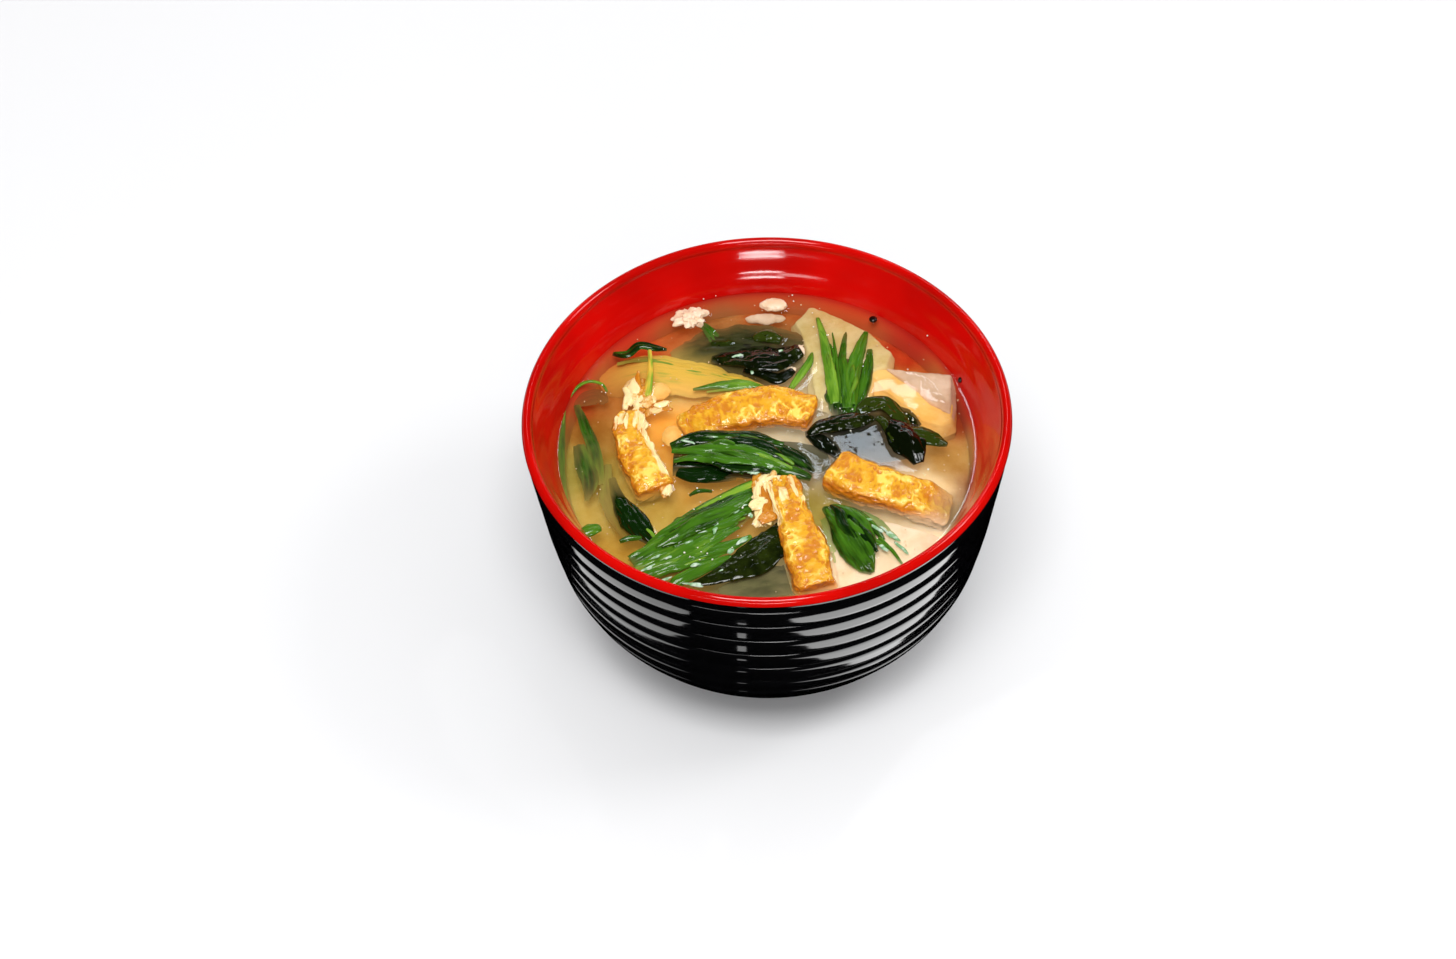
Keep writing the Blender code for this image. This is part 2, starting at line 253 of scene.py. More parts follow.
def scrambled(cells: npt.NDArray[np.int64], seed: int) -> Array:
    """A random number from 0 to 1 for each whole-numbered cell, always the same for a seed.

    Args:
        cells: whole numbers, three to a cell.
        seed: which set of random numbers.

    Returns:
        One number for each cell.
    """
    mixed = cells[..., 0] * 73856093 ^ cells[..., 1] * 19349663 ^ cells[..., 2] * 83492791
    mixed = (mixed + seed * 2654435761) & 0xFFFFFFFF
    mixed = ((mixed ^ (mixed >> 15)) * 2246822519) & 0xFFFFFFFF
    mixed = ((mixed ^ (mixed >> 13)) * 3266489917) & 0xFFFFFFFF
    return ((mixed ^ (mixed >> 16)) & 0xFFFFFF) / float(0xFFFFFF)


def soft_noise(points: Array, size: float, seed: int = 0, octaves: int = 1) -> Array:
    """Smooth noise from -1 to 1: random values on a cubic lattice, blended by smooth steps.

    Args:
        points: where, in metres.
        size: the lattice's spacing.
        seed: which noise.
        octaves: how many finer copies, each half the size and half the strength.

    Returns:
        The noise at each point.
    """
    total = np.zeros(points.shape[:-1])
    strength = 1.0
    for octave in range(octaves):
        cell = points / (size / 2**octave)
        base = np.floor(cell).astype(np.int64)
        part = cell - base
        part = part * part * (3.0 - 2.0 * part)
        for corner in itertools.product((0, 1), repeat=3):
            weight = np.prod(np.where(corner, part, 1.0 - part), axis=-1)
            total += strength * weight * (2.0 * scrambled(base + corner, seed + octave) - 1.0)
        strength *= 0.5
    return total


def nearest_seed(points: Array, size: float, seed: int = 0) -> tuple[Array, Array]:
    """Distances to the nearest two of the random seeds that stand one in each cubic cell.

    Args:
        points: where, in metres.
        size: the cells' size.
        seed: which set of seeds.

    Returns:
        The distance to the nearest over the cells' size, and how much further the next is.
    """
    cell = points / size
    base = np.floor(cell).astype(np.int64)
    best = np.full(points.shape[:-1], 9.0)
    second = best.copy()
    for corner in itertools.product((-1, 0, 1), repeat=3):
        near = base + corner
        spot = near + np.stack([scrambled(near, seed + axis) for axis in range(3)], axis=-1)
        far = np.linalg.norm(cell - spot, axis=-1)
        second = np.minimum(second, np.maximum(best, far))
        best = np.minimum(best, far)
    return (best, second - best)


def smooth(values: Array, low: float, high: float) -> Array:
    """0 below low, 1 above high, and a smooth step between them."""
    part = np.clip((values - low) / (high - low), 0.0, 1.0)
    return part * part * (3.0 - 2.0 * part)


def within(values: Array, span: tuple[float, float], soft: float) -> Array:
    """1 inside a span and 0 outside it, with a smooth step of this half width at each end."""
    start, stop = (smooth(values, end - soft, end + soft) for end in span)
    return start * (1.0 - stop)


def through(points: Array, t: Array) -> Array:
    """The Catmull-Rom curve through the points, read at each t from 0 to 1.

    Args:
        points: the points or numbers that the curve passes, one a row.
        t: where to read it.

    Returns:
        One row for each t.
    """
    last = len(points) - 1
    place = np.clip(t * last, 0.0, last - 1e-9)
    first = place.astype(int)
    f = (place - first)[:, None]
    p0, p1, p2, p3 = (points[np.clip(first + k, 0, last)] for k in (-1, 0, 1, 2))
    linear_part = (p2 - p0) * f
    square = (2 * p0 - 5 * p1 + 4 * p2 - p3) * f**2
    cube = (3 * p1 - p0 - 3 * p2 + p3) * f**3
    return (2 * p1 + linear_part + square + cube) / 2


def eased(values: Sequence[float], t: Array) -> Array:
    """The smooth curve through evenly spaced numbers, read at each t from 0 to 1."""
    return through(np.array(values, float)[:, None], t)[:, 0]


def in_soup(points: Sequence[Sequence[float]]) -> Array:
    """Points in millimetres, heights counted from the soup's level, as metres."""
    return np.array(points, float) * MM + (0.0, 0.0, SOUP_LEVEL)


def carried(spine: Array, side: Array, rise: Array, roll: Array) -> Array:
    """A profile carried along a path.

    Each row's points lie in the plane square to the path. side counts to the right of the
    path's heading and rise counts up from it, both after a turn by roll about the path.

    Args:
        spine: the path, one point a row.
        side: offsets to the right, one row for each point of the path.
        rise: offsets upwards, shaped alike.
        roll: the turn at each point of the path, in radians.

    Returns:
        A grid of points.
    """
    ahead = np.gradient(spine, axis=0)
    ahead /= np.linalg.norm(ahead, axis=1)[:, None]
    right = np.cross(ahead, (0.0, 0.0, 1.0))
    right /= np.linalg.norm(right, axis=1)[:, None]
    upward = np.cross(right, ahead)
    turn, lift = np.cos(roll)[:, None], np.sin(roll)[:, None]
    right, upward = right * turn + upward * lift, upward * turn - right * lift
    return spine[:, None] + right[:, None] * side[..., None] + upward[:, None] * rise[..., None]


def grid_normals(points: Array, wrap: bool) -> Array:
    """Unit normals of a grid, from its neighbours along rows and columns."""
    if wrap:
        around = np.roll(points, -1, axis=1) - np.roll(points, 1, axis=1)
    else:
        around = np.gradient(points, axis=1)
    normals = np.cross(np.gradient(points, axis=0), around)
    return normals / np.maximum(np.linalg.norm(normals, axis=-1, keepdims=True), 1e-12)


# ---------------------------------------------------------------- meshes


def quads(rows: int, columns: int, wrap: bool) -> npt.NDArray[np.int64]:
    """The faces of a grid of points.

    Args:
        rows, columns: how many points the grid has each way.
        wrap: whether the last column joins the first.

    Returns:
        Four point numbers for each face, row by row.
    """
    across = columns if wrap else columns - 1
    row, column = np.meshgrid(np.arange(rows - 1), np.arange(across), indexing="ij")
    after = (column + 1) % columns
    corners = (row * columns + column, row * columns + after)
    corners += ((row + 1) * columns + after, (row + 1) * columns + column)
    return np.stack(corners, axis=-1).reshape(-1, 4)


@dataclass
class Mesher:
    """Collects grids of points and joins them into one mesh."""

    points: list[Array] = field(default_factory=list)
    faces: list[npt.NDArray[np.int64]] = field(default_factory=list)
    slots: list[npt.NDArray[np.int64]] = field(default_factory=list)
    facts: dict[str, list[Array]] = field(default_factory=dict)
    count: int = 0

    def _add(self, points: Array, faces: npt.NDArray[np.int64], facts: Mapping[str, Array],
             slot: Any) -> None:
        """Adds points and four-cornered faces, whose last two corners are one on a triangle."""
        for name in {*facts, *self.facts}:
            kept = self.facts.setdefault(name, [np.zeros(self.count)] if self.count else [])
            kept.append(np.asarray(facts.get(name, np.zeros(len(points))), float).reshape(-1))
        self.points.append(points)
        self.faces.append(faces + self.count)
        self.slots.append(np.broadcast_to(slot, len(faces)).astype(np.int64))
        self.count += len(points)

    def grid(
        self,
        points: Array,
        wrap: bool = False,
        closed: bool = False,
        facts: Mapping[str, Array] | None = None,
        row_slots: Any = 0,
    ) -> None:
        """Adds a grid of points as quads.

        Args:
            points: rows by columns by three.
            wrap: whether the last column joins the first.
            closed: whether the first and last rows are each closed on their middle.
            facts: per-point values, shaped as the grid.
            row_slots: the material of each row of faces, or one for all.
        """
        rows, columns = points.shape[:2]
        faces = quads(rows, columns, wrap)
        slots = np.repeat(np.broadcast_to(row_slots, rows - 1), len(faces) // (rows - 1))
        flat = points.reshape(-1, 3)
        values = {name: np.asarray(fact, float) for name, fact in (facts or {}).items()}
        if closed:
            ends = []
            for index, line in ((0, 0), (1, (rows - 1) * columns)):
                middle = np.full(columns, rows * columns + index)
                first = line + np.arange(columns)
                second = line + (np.arange(columns) + 1) % columns
                pair = (second, first) if index == 0 else (first, second)
                ends.append(np.stack([*pair, middle, middle], axis=-1))
            faces = np.concatenate([faces, *ends])
            slots = np.concatenate([slots, np.repeat([slots[0], slots[-1]], columns)])
            flat = np.concatenate([flat, points[[0, -1]].mean(axis=1)])
            values = {
                name: np.concatenate([value.reshape(-1), value[[0, -1]].mean(axis=1)])
                for name, value in values.items()
            }
            if signed_volume(flat, faces) < 0:
                faces = faces[:, [1, 0, 3, 2]]
        self._add(flat, faces, values, slots)

    def shell(self, points: Array, thickness: Array | float,
              facts: Mapping[str, Array] | None = None) -> None:
        """Adds a closed sheet: the grid moved half its thickness both ways, joined round its edge.

        Args:
            points: the middle of the sheet, rows by columns by three.
            thickness: its thickness in metres, for each point or for all.
            facts: per-point values, shaped as the grid.
        """
        normals = grid_normals(points, wrap=False)
        half = np.broadcast_to(np.asarray(thickness, float), points.shape[:2])[..., None] / 2
        over, under = points + normals * half, points - normals * half
        # Each row runs out along the upper side and back along the lower one.
        loop = np.concatenate([over, under[:, ::-1]], axis=1)
        doubled = {
            name: np.concatenate([fact, fact[:, ::-1]], axis=1) for name, fact in (facts or {}).items()
        }
        self._loop(loop, doubled)

    def _loop(self, loop: Array, facts: Mapping[str, Array]) -> None:
        """Adds a wrapped grid whose end rows are flat loops, each closed by a strip of quads."""
        rows, columns = loop.shape[:2]
        near = np.arange(columns // 2 - 1)
        strip = np.stack([near, near + 1, columns - 2 - near, columns - 1 - near], axis=-1)
        ends = (strip[:, ::-1], strip + (rows - 1) * columns)
        joined = np.concatenate([quads(rows, columns, wrap=True), *ends])
        flat = loop.reshape(-1, 3)
        if signed_volume(flat, joined) < 0:
            joined = joined[:, ::-1]
        self._add(flat, joined, facts, 0)

    def build(self, name: str, *materials: bpy.types.Material) -> bpy.types.Object:
        """Makes the object.

        Args:
            name: the piece's name.
            materials: its materials, in the order that the faces number them.

        Returns:
            The object, linked to the scene and riding on the bowl's body.
        """
        points = np.concatenate(self.points)
        faces = np.concatenate(self.faces)
        single = faces[:, 2] == faces[:, 3]
        sizes = np.where(single, 3, 4)
        keep = np.ones(faces.shape, bool)
        keep[single, 3] = False
        mesh = bpy.data.meshes.new(name)
        mesh.vertices.add(len(points))
        mesh.vertices.foreach_set("co", points.astype(np.float32).reshape(-1))
        mesh.loops.add(int(sizes.sum()))
        mesh.loops.foreach_set("vertex_index", faces[keep].astype(np.int32))
        mesh.polygons.add(len(faces))
        starts = np.concatenate([[0], np.cumsum(sizes)[:-1]])
        mesh.polygons.foreach_set("loop_start", starts.astype(np.int32))
        mesh.polygons.foreach_set("material_index", np.concatenate(self.slots).astype(np.int32))
        for material in materials:
            mesh.materials.append(material)
        for fact, values in self.facts.items():
            attribute = mesh.attributes.new(fact, "FLOAT", "POINT")
            attribute.data.foreach_set("value", np.concatenate(values).astype(np.float32))
        # Each point carries the broth's tint, painted shade and reflection included; the sunk colours and the
        # painted glow read it.
        broth = np.concatenate([soup_tint_and_painted_light(points), np.ones((len(points), 1))], axis=1)
        tint = mesh.attributes.new("broth", "FLOAT_COLOR", "POINT")
        tint.data.foreach_set("color", broth.astype(np.float32).reshape(-1))
        mesh.update(calc_edges=True)
        mesh.shade_smooth()
        piece = bpy.data.objects.new(name, mesh)
        bpy.context.scene.collection.objects.link(piece)
        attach(piece, BODY)
        log.info("%s: %d points, %d faces", name, len(points), len(faces))
        return piece

    def garnish(
        self, name: str, finish: bpy.types.Material, nodes: Sequence[str] = ()
    ) -> tuple[bpy.types.Object, Array]:
        """Makes the object of a piece that lies in the soup.

        Args:
            name: the piece's name.
            finish: its material.
            nodes: the CAD nodes that it stands for.

        Returns:
            The piece, and the points where it breaks the surface.
        """
        piece = self.build(name, finish)
        if nodes:
            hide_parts(*nodes)
        return piece, self.waterline()

    def waterline(self) -> Array:
        """The points that stand up to a third of a millimetre over the soup's level."""
        points = np.concatenate(self.points)
        rise = points[:, 2] - SOUP_LEVEL
        return points[(rise > 0.0) & (rise < 0.35 * MM)]


def signed_volume(points: Array, faces: npt.NDArray[np.int64]) -> float:
    """Six times the volume inside quads, below zero where they face inwards."""
    a, b, c, d = (points[faces[:, k]] for k in range(4))
    return float(np.sum(np.cross(a, b) * c) + np.sum(np.cross(a, c) * d))


# ---------------------------------------------------------------- the soup's colours

# Where the broth is which colour, in millimetres from the bowl's axis. Some tints are painted light: the dark
# reds and browns by the right wall are painted shade of the wall, and the pale creams at the front right are
# partly painted reflection of the window.
SOUP_TINTS_AND_PAINTED_LIGHT: tuple[tuple[float, float, Colour], ...] = (
    (-49, 22, linear(188, 60, 18)),
    (-34, 38, linear(192, 54, 12)),
    (-20, 46, linear(180, 82, 30)),
    (2, 50, linear(184, 84, 30)),
    (-12, 41, linear(146, 100, 48)),
    (4, 42, linear(142, 98, 46)),
    (-6, 31.5, linear(76, 72, 32)),
    (22, 46, linear(186, 78, 26)),
    (38, 32, linear(176, 34, 4)),
    (36, 24.5, linear(170, 104, 36)),
    (49, 12, linear(142, 40, 8)),
    (45, -4, linear(170, 122, 48)),
    (41, -10, linear(238, 206, 150)),
    (50.5, -12, linear(128, 62, 34)),
    (49, -22, linear(142, 120, 84)),
    (42, -33, linear(250, 222, 184)),
    (28, -42, linear(250, 232, 192)),
    (15, -40, linear(250, 226, 178)),
    (3, -47, linear(178, 162, 108)),
    (-9, -49, linear(150, 142, 92)),
    (-27, -41, linear(176, 138, 56)),
    (-38, -31, linear(178, 134, 46)),
    (-24, -22, linear(180, 148, 64)),
    (-45, -16, linear(186, 156, 74)),
    (-48, -2, linear(160, 142, 60)),
    (-45, 12, linear(150, 100, 32)),
    (-38, 24, linear(170, 104, 40)),
    (-20, 27, linear(212, 180, 90)),
    (-20, 20, linear(226, 172, 92)),
    (-17, 0, linear(214, 154, 66)),
    (-22, 12, linear(232, 160, 58)),
    (-12, -14, linear(200, 152, 70)),
    (10, -20, linear(160, 140, 62)),
    (22, 2, linear(62, 66, 46)),
    (11, 6, linear(214, 196, 160)),
    (13, 22, linear(206, 180, 132)),
    (28, 17, linear(236, 186, 106)),
    (36, 9, linear(240, 174, 88)),
    (26, -8.5, linear(206, 178, 138)),
)
TINT_REACH = 5.0 * MM
FADE_DEPTH = 2.7
# Strength of the painted glow: broth-coloured light that stands in for the light the cloudy broth spreads.
BROTH_PAINTED_GLOW = 0.32
BROTH_CORE_DEPTH = 6.0 * MM


def soup_tint_and_painted_light(points: Array) -> Array:
    """The broth's colour under each point, with the painted shade and reflection of some of its tints.

    Each tint counts by the inverse fourth power of its distance, softened by TINT_REACH.

    Args:
        points: where, in metres. Heights don't count.

    Returns:
        A linear colour for each point.
    """
    places = np.array([tint[:2] for tint in SOUP_TINTS_AND_PAINTED_LIGHT]) * MM
    colours = np.array([tint[2] for tint in SOUP_TINTS_AND_PAINTED_LIGHT])
    wobble = np.stack([soft_noise(points, 6 * MM, seed, 2) for seed in (11, 12)], axis=-1) * 1.6 * MM
    offsets = (points[:, :2] + wobble)[:, None] - places[None]
    weights = 1.0 / ((offsets**2).sum(axis=-1) + TINT_REACH**2) ** 2.2
    return weights @ colours / weights.sum(axis=1, keepdims=True)


class LacquerSide(Enum):
    """The two colours of the bowl's lacquer."""

    OUTSIDE = linear(5, 5, 6)
    INSIDE = linear(194, 8, 4)


class Finish:
    """Base of the finishes: what is below the soup's level fades into the broth."""

    def fade(self, shader: Shader) -> Value:
        """How far the broth hides a point: 0 at the surface, nearly 1 well below it."""
        depth = (0.0 - shader.height()).above(0.0)
        return 1.0 - (depth * (-1.0 / FADE_DEPTH)).exp()

    def sunk(self, shader: Shader, colour: Any) -> Any:
        """The colour as it shows through the broth over it."""
        return shader.blend(self.fade(shader), colour, shader.tint())

    def settled(self, shader: Shader, normal: Any) -> Any:
        """A normal that turns upwards as the broth hides the surface, so that the broth looks level."""
        share = self.fade(shader)
        kept = shader.vector("SCALE", {0: normal, "Scale": 1.0 - share})
        total = shader.vector("ADD", {0: kept, 1: shader.combined(0.0, 0.0, share)})
        return shader.vector("NORMALIZE", {0: total})

    def glow(self, shader: Shader) -> Mapping[str, Any]:
        """Painted light: a glow in the broth's colour over what is sunk in it, standing in for the light that
        the cloudy broth spreads inside itself.
        """
        return {
            "Emission Color": shader.blend(self.fade(shader), (0.0, 0.0, 0.0), shader.tint()),
            "Emission Strength": BROTH_PAINTED_GLOW,
        }

    def dulled(self, shader: Shader, roughness: Value | float) -> Value:
        """A roughness that rises where the broth covers the surface."""
        return (self.fade(shader) * 5.0 + roughness).math("MINIMUM", 0.9)

    def wet(self, shader: Shader, colour: Any, roughness: Value, normal: Any) -> dict[str, Any]:
        """The inputs of a surface that the broth covers where it is sunk.

        Args:
            shader: the material that they are for.
            colour, roughness, normal: the surface's own, out of the broth.

        Returns:
            The colour, roughness, normal and painted glow as they show.
        """
        return {
            "Base Color": self.sunk(shader, colour),
            "Roughness": self.dulled(shader, roughness),
            "Normal": self.settled(shader, normal),
            **self.glow(shader),
        }


@dataclass(frozen=True)
class Lacquer(Finish):
    """Glossy lacquer with faint marks of turning."""

    side: LacquerSide
    roughness: float = 0.06
    ior: float = 1.45

    def material(self) -> bpy.types.Material:
        """Makes the material."""
        shader = Shader("lacquer_" + self.side.name.lower())
        rings = shader.noise(1.0, 3.0, 0.6, shader.stretched(shader.place, (20.0, 20.0, 2600.0)))
        cloud = shader.noise(22 * MM, 2.0)
        dark = tuple(part * 0.80 for part in self.side.value)
        light = tuple(min(part * 1.08, 1.0) for part in self.side.value)
        colour = shader.blend(cloud.step(0.25, 0.75), dark, light)
        marks = rings * 0.6 + shader.noise(3.5 * MM, 2.0) * 0.4
        bent = shader.bump(marks, 0.02 * MM, 0.35)
        if self.side is LacquerSide.INSIDE:
            inputs = self.wet(shader, colour, rings.step(0.3, 0.9) * 0.06 + self.roughness, bent)
        else:
            roughness = rings.step(0.3, 0.9) * 0.05 + self.roughness
            inputs = {"Base Color": colour, "Roughness": roughness, "Normal": bent}
        return shader.finish(shader.principled({"IOR": self.ior, **inputs}))


@dataclass(frozen=True)
class CloudyBroth(Finish):
    """The body of the broth: clouds of miso that hang in it."""

    def material(self) -> bpy.types.Material:
        """Makes the material."""
        shader = Shader("cloudy_broth")
        tint = shader.tint()
        clouds = shader.noise(9 * MM, 4.0, 0.6)
        paler = shader.node("Gamma", None, {0: tint, 1: 0.82}).outputs[0]
        deeper = shader.node("Gamma", None, {0: tint, 1: 1.18}).outputs[0]
        inputs = {
            "Base Color": shader.blend(clouds.step(0.3, 0.72), deeper, paler),
            "Roughness": 0.8,
            "IOR": 1.33,
            # Painted light: the broth glows in its own tint, besides its real subsurface scattering.
            "Emission Color": tint,
            "Emission Strength": BROTH_PAINTED_GLOW,
            "Subsurface Weight": 1.0,
            "Subsurface Radius": (1.0, 0.75, 0.45),
            "Subsurface Scale": 4.0 * MM,
        }
        return shader.finish(shader.principled(inputs))


@dataclass(frozen=True)
class WetFilm:
    """A clear water surface: what lies below shows through, and it mirrors by Fresnel."""

    name: str
    ripple: float = 0.01

    def material(self) -> bpy.types.Material:
        """Makes the material."""
        shader = Shader(self.name)
        waves = shader.noise(5 * MM, 2.0) * 0.7 + shader.noise(1.6 * MM, 2.0) * 0.3
        normal = shader.bump(waves, self.ripple * MM)
        mirror = shader.node("Fresnel", None, {"IOR": 1.36, "Normal": normal}).outputs[0]
        gloss = shader.node("BsdfGlossy", None, {"Roughness": 0.03, "Normal": normal}).outputs[0]
        clear = shader.node("BsdfTransparent").outputs[0]
        surface = shader.node("MixShader", None, {0: mirror, 1: clear, 2: gloss}).outputs[0]
        return shader.finish(surface)


@dataclass(frozen=True)
class FriedSkin(Finish):
    """Fried tofu: blistered golden skin, orange cut sides and cream torn flesh."""

    valley: Colour = linear(206, 126, 10)
    middle: Colour = linear(226, 164, 18)
    crest: Colour = linear(248, 212, 92)
    side: Colour = linear(222, 134, 16)
    shade: Colour = linear(178, 94, 4)
    flesh: Colour = linear(254, 226, 164)

    def material(self) -> bpy.types.Material:
        """Makes the material."""
        shader = Shader("fried_tofu")
        grain = shader.noise(1.1 * MM, 4.0, 0.6)
        speckle = shader.noise(0.35 * MM, 2.0)
        relief = shader.fact("relief") + (grain - 0.5) * 0.5
        skin = shader.blend(relief.step(0.05, 0.45), self.valley, self.middle)
        skin = shader.blend(relief.step(0.5, 0.95), skin, self.crest)
        # The cut sides blend their orange with the darker shade colour by the layers: painted shade.
        cut = shader.blend(relief.step(0.15, 0.8), self.shade, self.side)
        colour = shader.blend(shader.fact("skin"), cut, skin)
        torn = shader.fact("torn") + (grain - 0.5) * 0.7
        colour = shader.blend(torn.step(0.35, 0.65), colour, self.flesh)
        toasted = shader.noise(7 * MM, 3.0, 0.6)
        colour = shader.blend(toasted.step(0.56, 0.8) * 0.15, colour, self.valley)
        normal = shader.bump(speckle * 0.35 + grain * 0.65, 0.22 * MM, 0.8)
        inputs = {
            **self.wet(shader, colour, grain * 0.35 + 0.22, normal),
            "IOR": 1.42,
            "Coat Weight": 0.8,
            "Coat Roughness": 0.1,
            "Subsurface Weight": 0.12,
            "Subsurface Radius": (1.0, 0.6, 0.2),
            "Subsurface Scale": 0.8 * MM,
        }
        return shader.finish(shader.principled(inputs))


@dataclass(frozen=True)
class LeafSkin(Finish):
    """Cooked spinach: dark wet leaf, paler stalks, drawn out lengthwise."""

    dark: Colour = linear(10, 34, 4)
    leaf: Colour = linear(62, 109, 20)
    stalk: Colour = linear(118, 158, 46)
    pale: Colour = linear(220, 180, 66)

    def material(self) -> bpy.types.Material:
        """Makes the material."""
        shader = Shader("spinach")
        drawn = shader.combined(shader.fact("along") * 0.16, shader.fact("across") * 1.5)
        fibres = shader.noise(1.0, 3.0, 0.62, drawn)
        wider = shader.combined(shader.fact("along") * 0.12, shader.fact("across") * 0.5)
        broad = shader.noise(1.0, 2.0, 0.5, wider)
        cells = shader.noise(0.8 * MM, 3.0, 0.6)
        tone = shader.fact("tone") + (fibres - 0.5) * 0.42 + (broad - 0.5) * 0.80
        colour = shader.blend(tone.step(0.0, 0.42), self.dark, self.leaf)
        colour = shader.blend(tone.step(0.42, 0.85), colour, self.stalk)
        colour = shader.blend(tone.step(0.9, 1.15), colour, self.pale)
        normal = shader.bump(fibres * 0.7 + cells * 0.3, 0.2 * MM, 0.5)
        inputs = self.wet(shader, colour, cells * 0.22 + 0.04, normal)
        return shader.finish(shader.principled({"IOR": 1.45, **inputs}))


@dataclass(frozen=True)
class SeaweedSkin(Finish):
    """Wakame: nearly black where it is thick, olive where it is thin, and very wet."""

    thick: Colour = linear(8, 14, 3)
    green: Colour = linear(42, 54, 10)
    thin: Colour = linear(98, 96, 26)

    def material(self) -> bpy.types.Material:
        """Makes the material."""
        shader = Shader("wakame")
        puckers = shader.noise(1.7 * MM, 4.0, 0.6)
        blots = shader.noise(6 * MM, 3.0, 0.6)
        cells = {"Vector": shader.place, "Scale": 1 / (1.9 * MM)}
        pores = shader.node("TexVoronoi", {"feature": "F1"}, cells)
        hole = 1.0 - Value(shader, pores.outputs["Distance"]).step(0.06, 0.2)
        tone = shader.fact("tone") + (blots - 0.5) * 0.55 + (puckers - 0.5) * 0.3
        colour = shader.blend(tone.step(0.0, 0.45), self.thick, self.green)
        colour = shader.blend(tone.step(0.5, 1.0), colour, self.thin)
        colour = shader.blend(hole * 0.8, colour, self.thick)
        normal = shader.bump(puckers * 0.75 - hole * 0.5, 0.2 * MM, 0.55)
        inputs = self.wet(shader, colour, puckers * 0.12 + 0.05, normal)
        return shader.finish(shader.principled({"IOR": 1.45, **inputs}))


@dataclass(frozen=True)
class TofuFlesh(Finish):
    """Silken tofu: pale and faintly pitted, tinted by the broth it stands in."""

    name: str = "tofu"
    pale: Colour = linear(240, 218, 192)
    warm: Colour = linear(224, 190, 154)

    def material(self) -> bpy.types.Material:
        """Makes the material."""
        shader = Shader(self.name)
        cloud = shader.noise(5 * MM, 3.0, 0.6)
        grain = shader.noise(0.6 * MM, 3.0, 0.6)
        colour = shader.blend(cloud.step(0.3, 0.7), self.warm, self.pale)
        normal = shader.bump(grain * 0.6 + cloud * 0.4, 0.12 * MM, 0.6)
        inputs = {
            **self.wet(shader, colour, grain * 0.2 + 0.25, normal),
            "IOR": 1.38,
            "Subsurface Weight": 0.2,
            "Subsurface Radius": (1.0, 0.8, 0.5),
            "Subsurface Scale": 1.2 * MM,
        }
        return shader.finish(shader.principled(inputs))


class Flesh(Enum):
    """The tofu's finishes: fresh, a darker and yellower one, plain, and golden under the broth."""

    FRESH = TofuFlesh()
    SOAKED = TofuFlesh("tofu_darker_yellow", linear(222, 206, 150), linear(204, 182, 112))
    PLAIN = TofuFlesh("tofu_plain", linear(218, 188, 160), linear(198, 162, 130))
    GOLDEN = TofuFlesh("tofu_golden", linear(246, 206, 124), linear(236, 178, 84))


@dataclass(frozen=True)
class PaintedWindowReflection(Finish):
    """Water on a green leaf, whose colour paints the pale window's reflection in it; its gloss is real."""

    # The pale colours are painted reflection of the window, over the leaf's green.
    bright: Colour = linear(196, 216, 196)
    green: Colour = linear(116, 164, 112)

    def material(self) -> bpy.types.Material:
        """Makes the material."""
        shader = Shader("painted_window_reflection")
        streaks = shader.noise(1.3 * MM, 3.0, 0.6)
        inputs = {
            "Base Color": shader.blend(streaks.step(0.35, 0.65), self.green, self.bright),
            "Roughness": streaks * 0.2 + 0.08,
            "IOR": 1.33,
        }
        return shader.finish(shader.principled(inputs))


@dataclass(frozen=True)
class Speck(Finish):
    """A tiny grain or bubble of one colour."""

    name: str
    colour: Colour
    roughness: float

    def material(self) -> bpy.types.Material:
        """Makes the material."""
        shader = Shader(self.name)
        grain = shader.noise(0.5 * MM, 2.0)
        darker = tuple(part * 0.75 for part in self.colour)
        inputs = {
            "Base Color": shader.blend(grain, darker, self.colour),
            "Roughness": grain * 0.2 + self.roughness,
        }
        return shader.finish(shader.principled(inputs))


# ---------------------------------------------------------------- the bowl and the broth


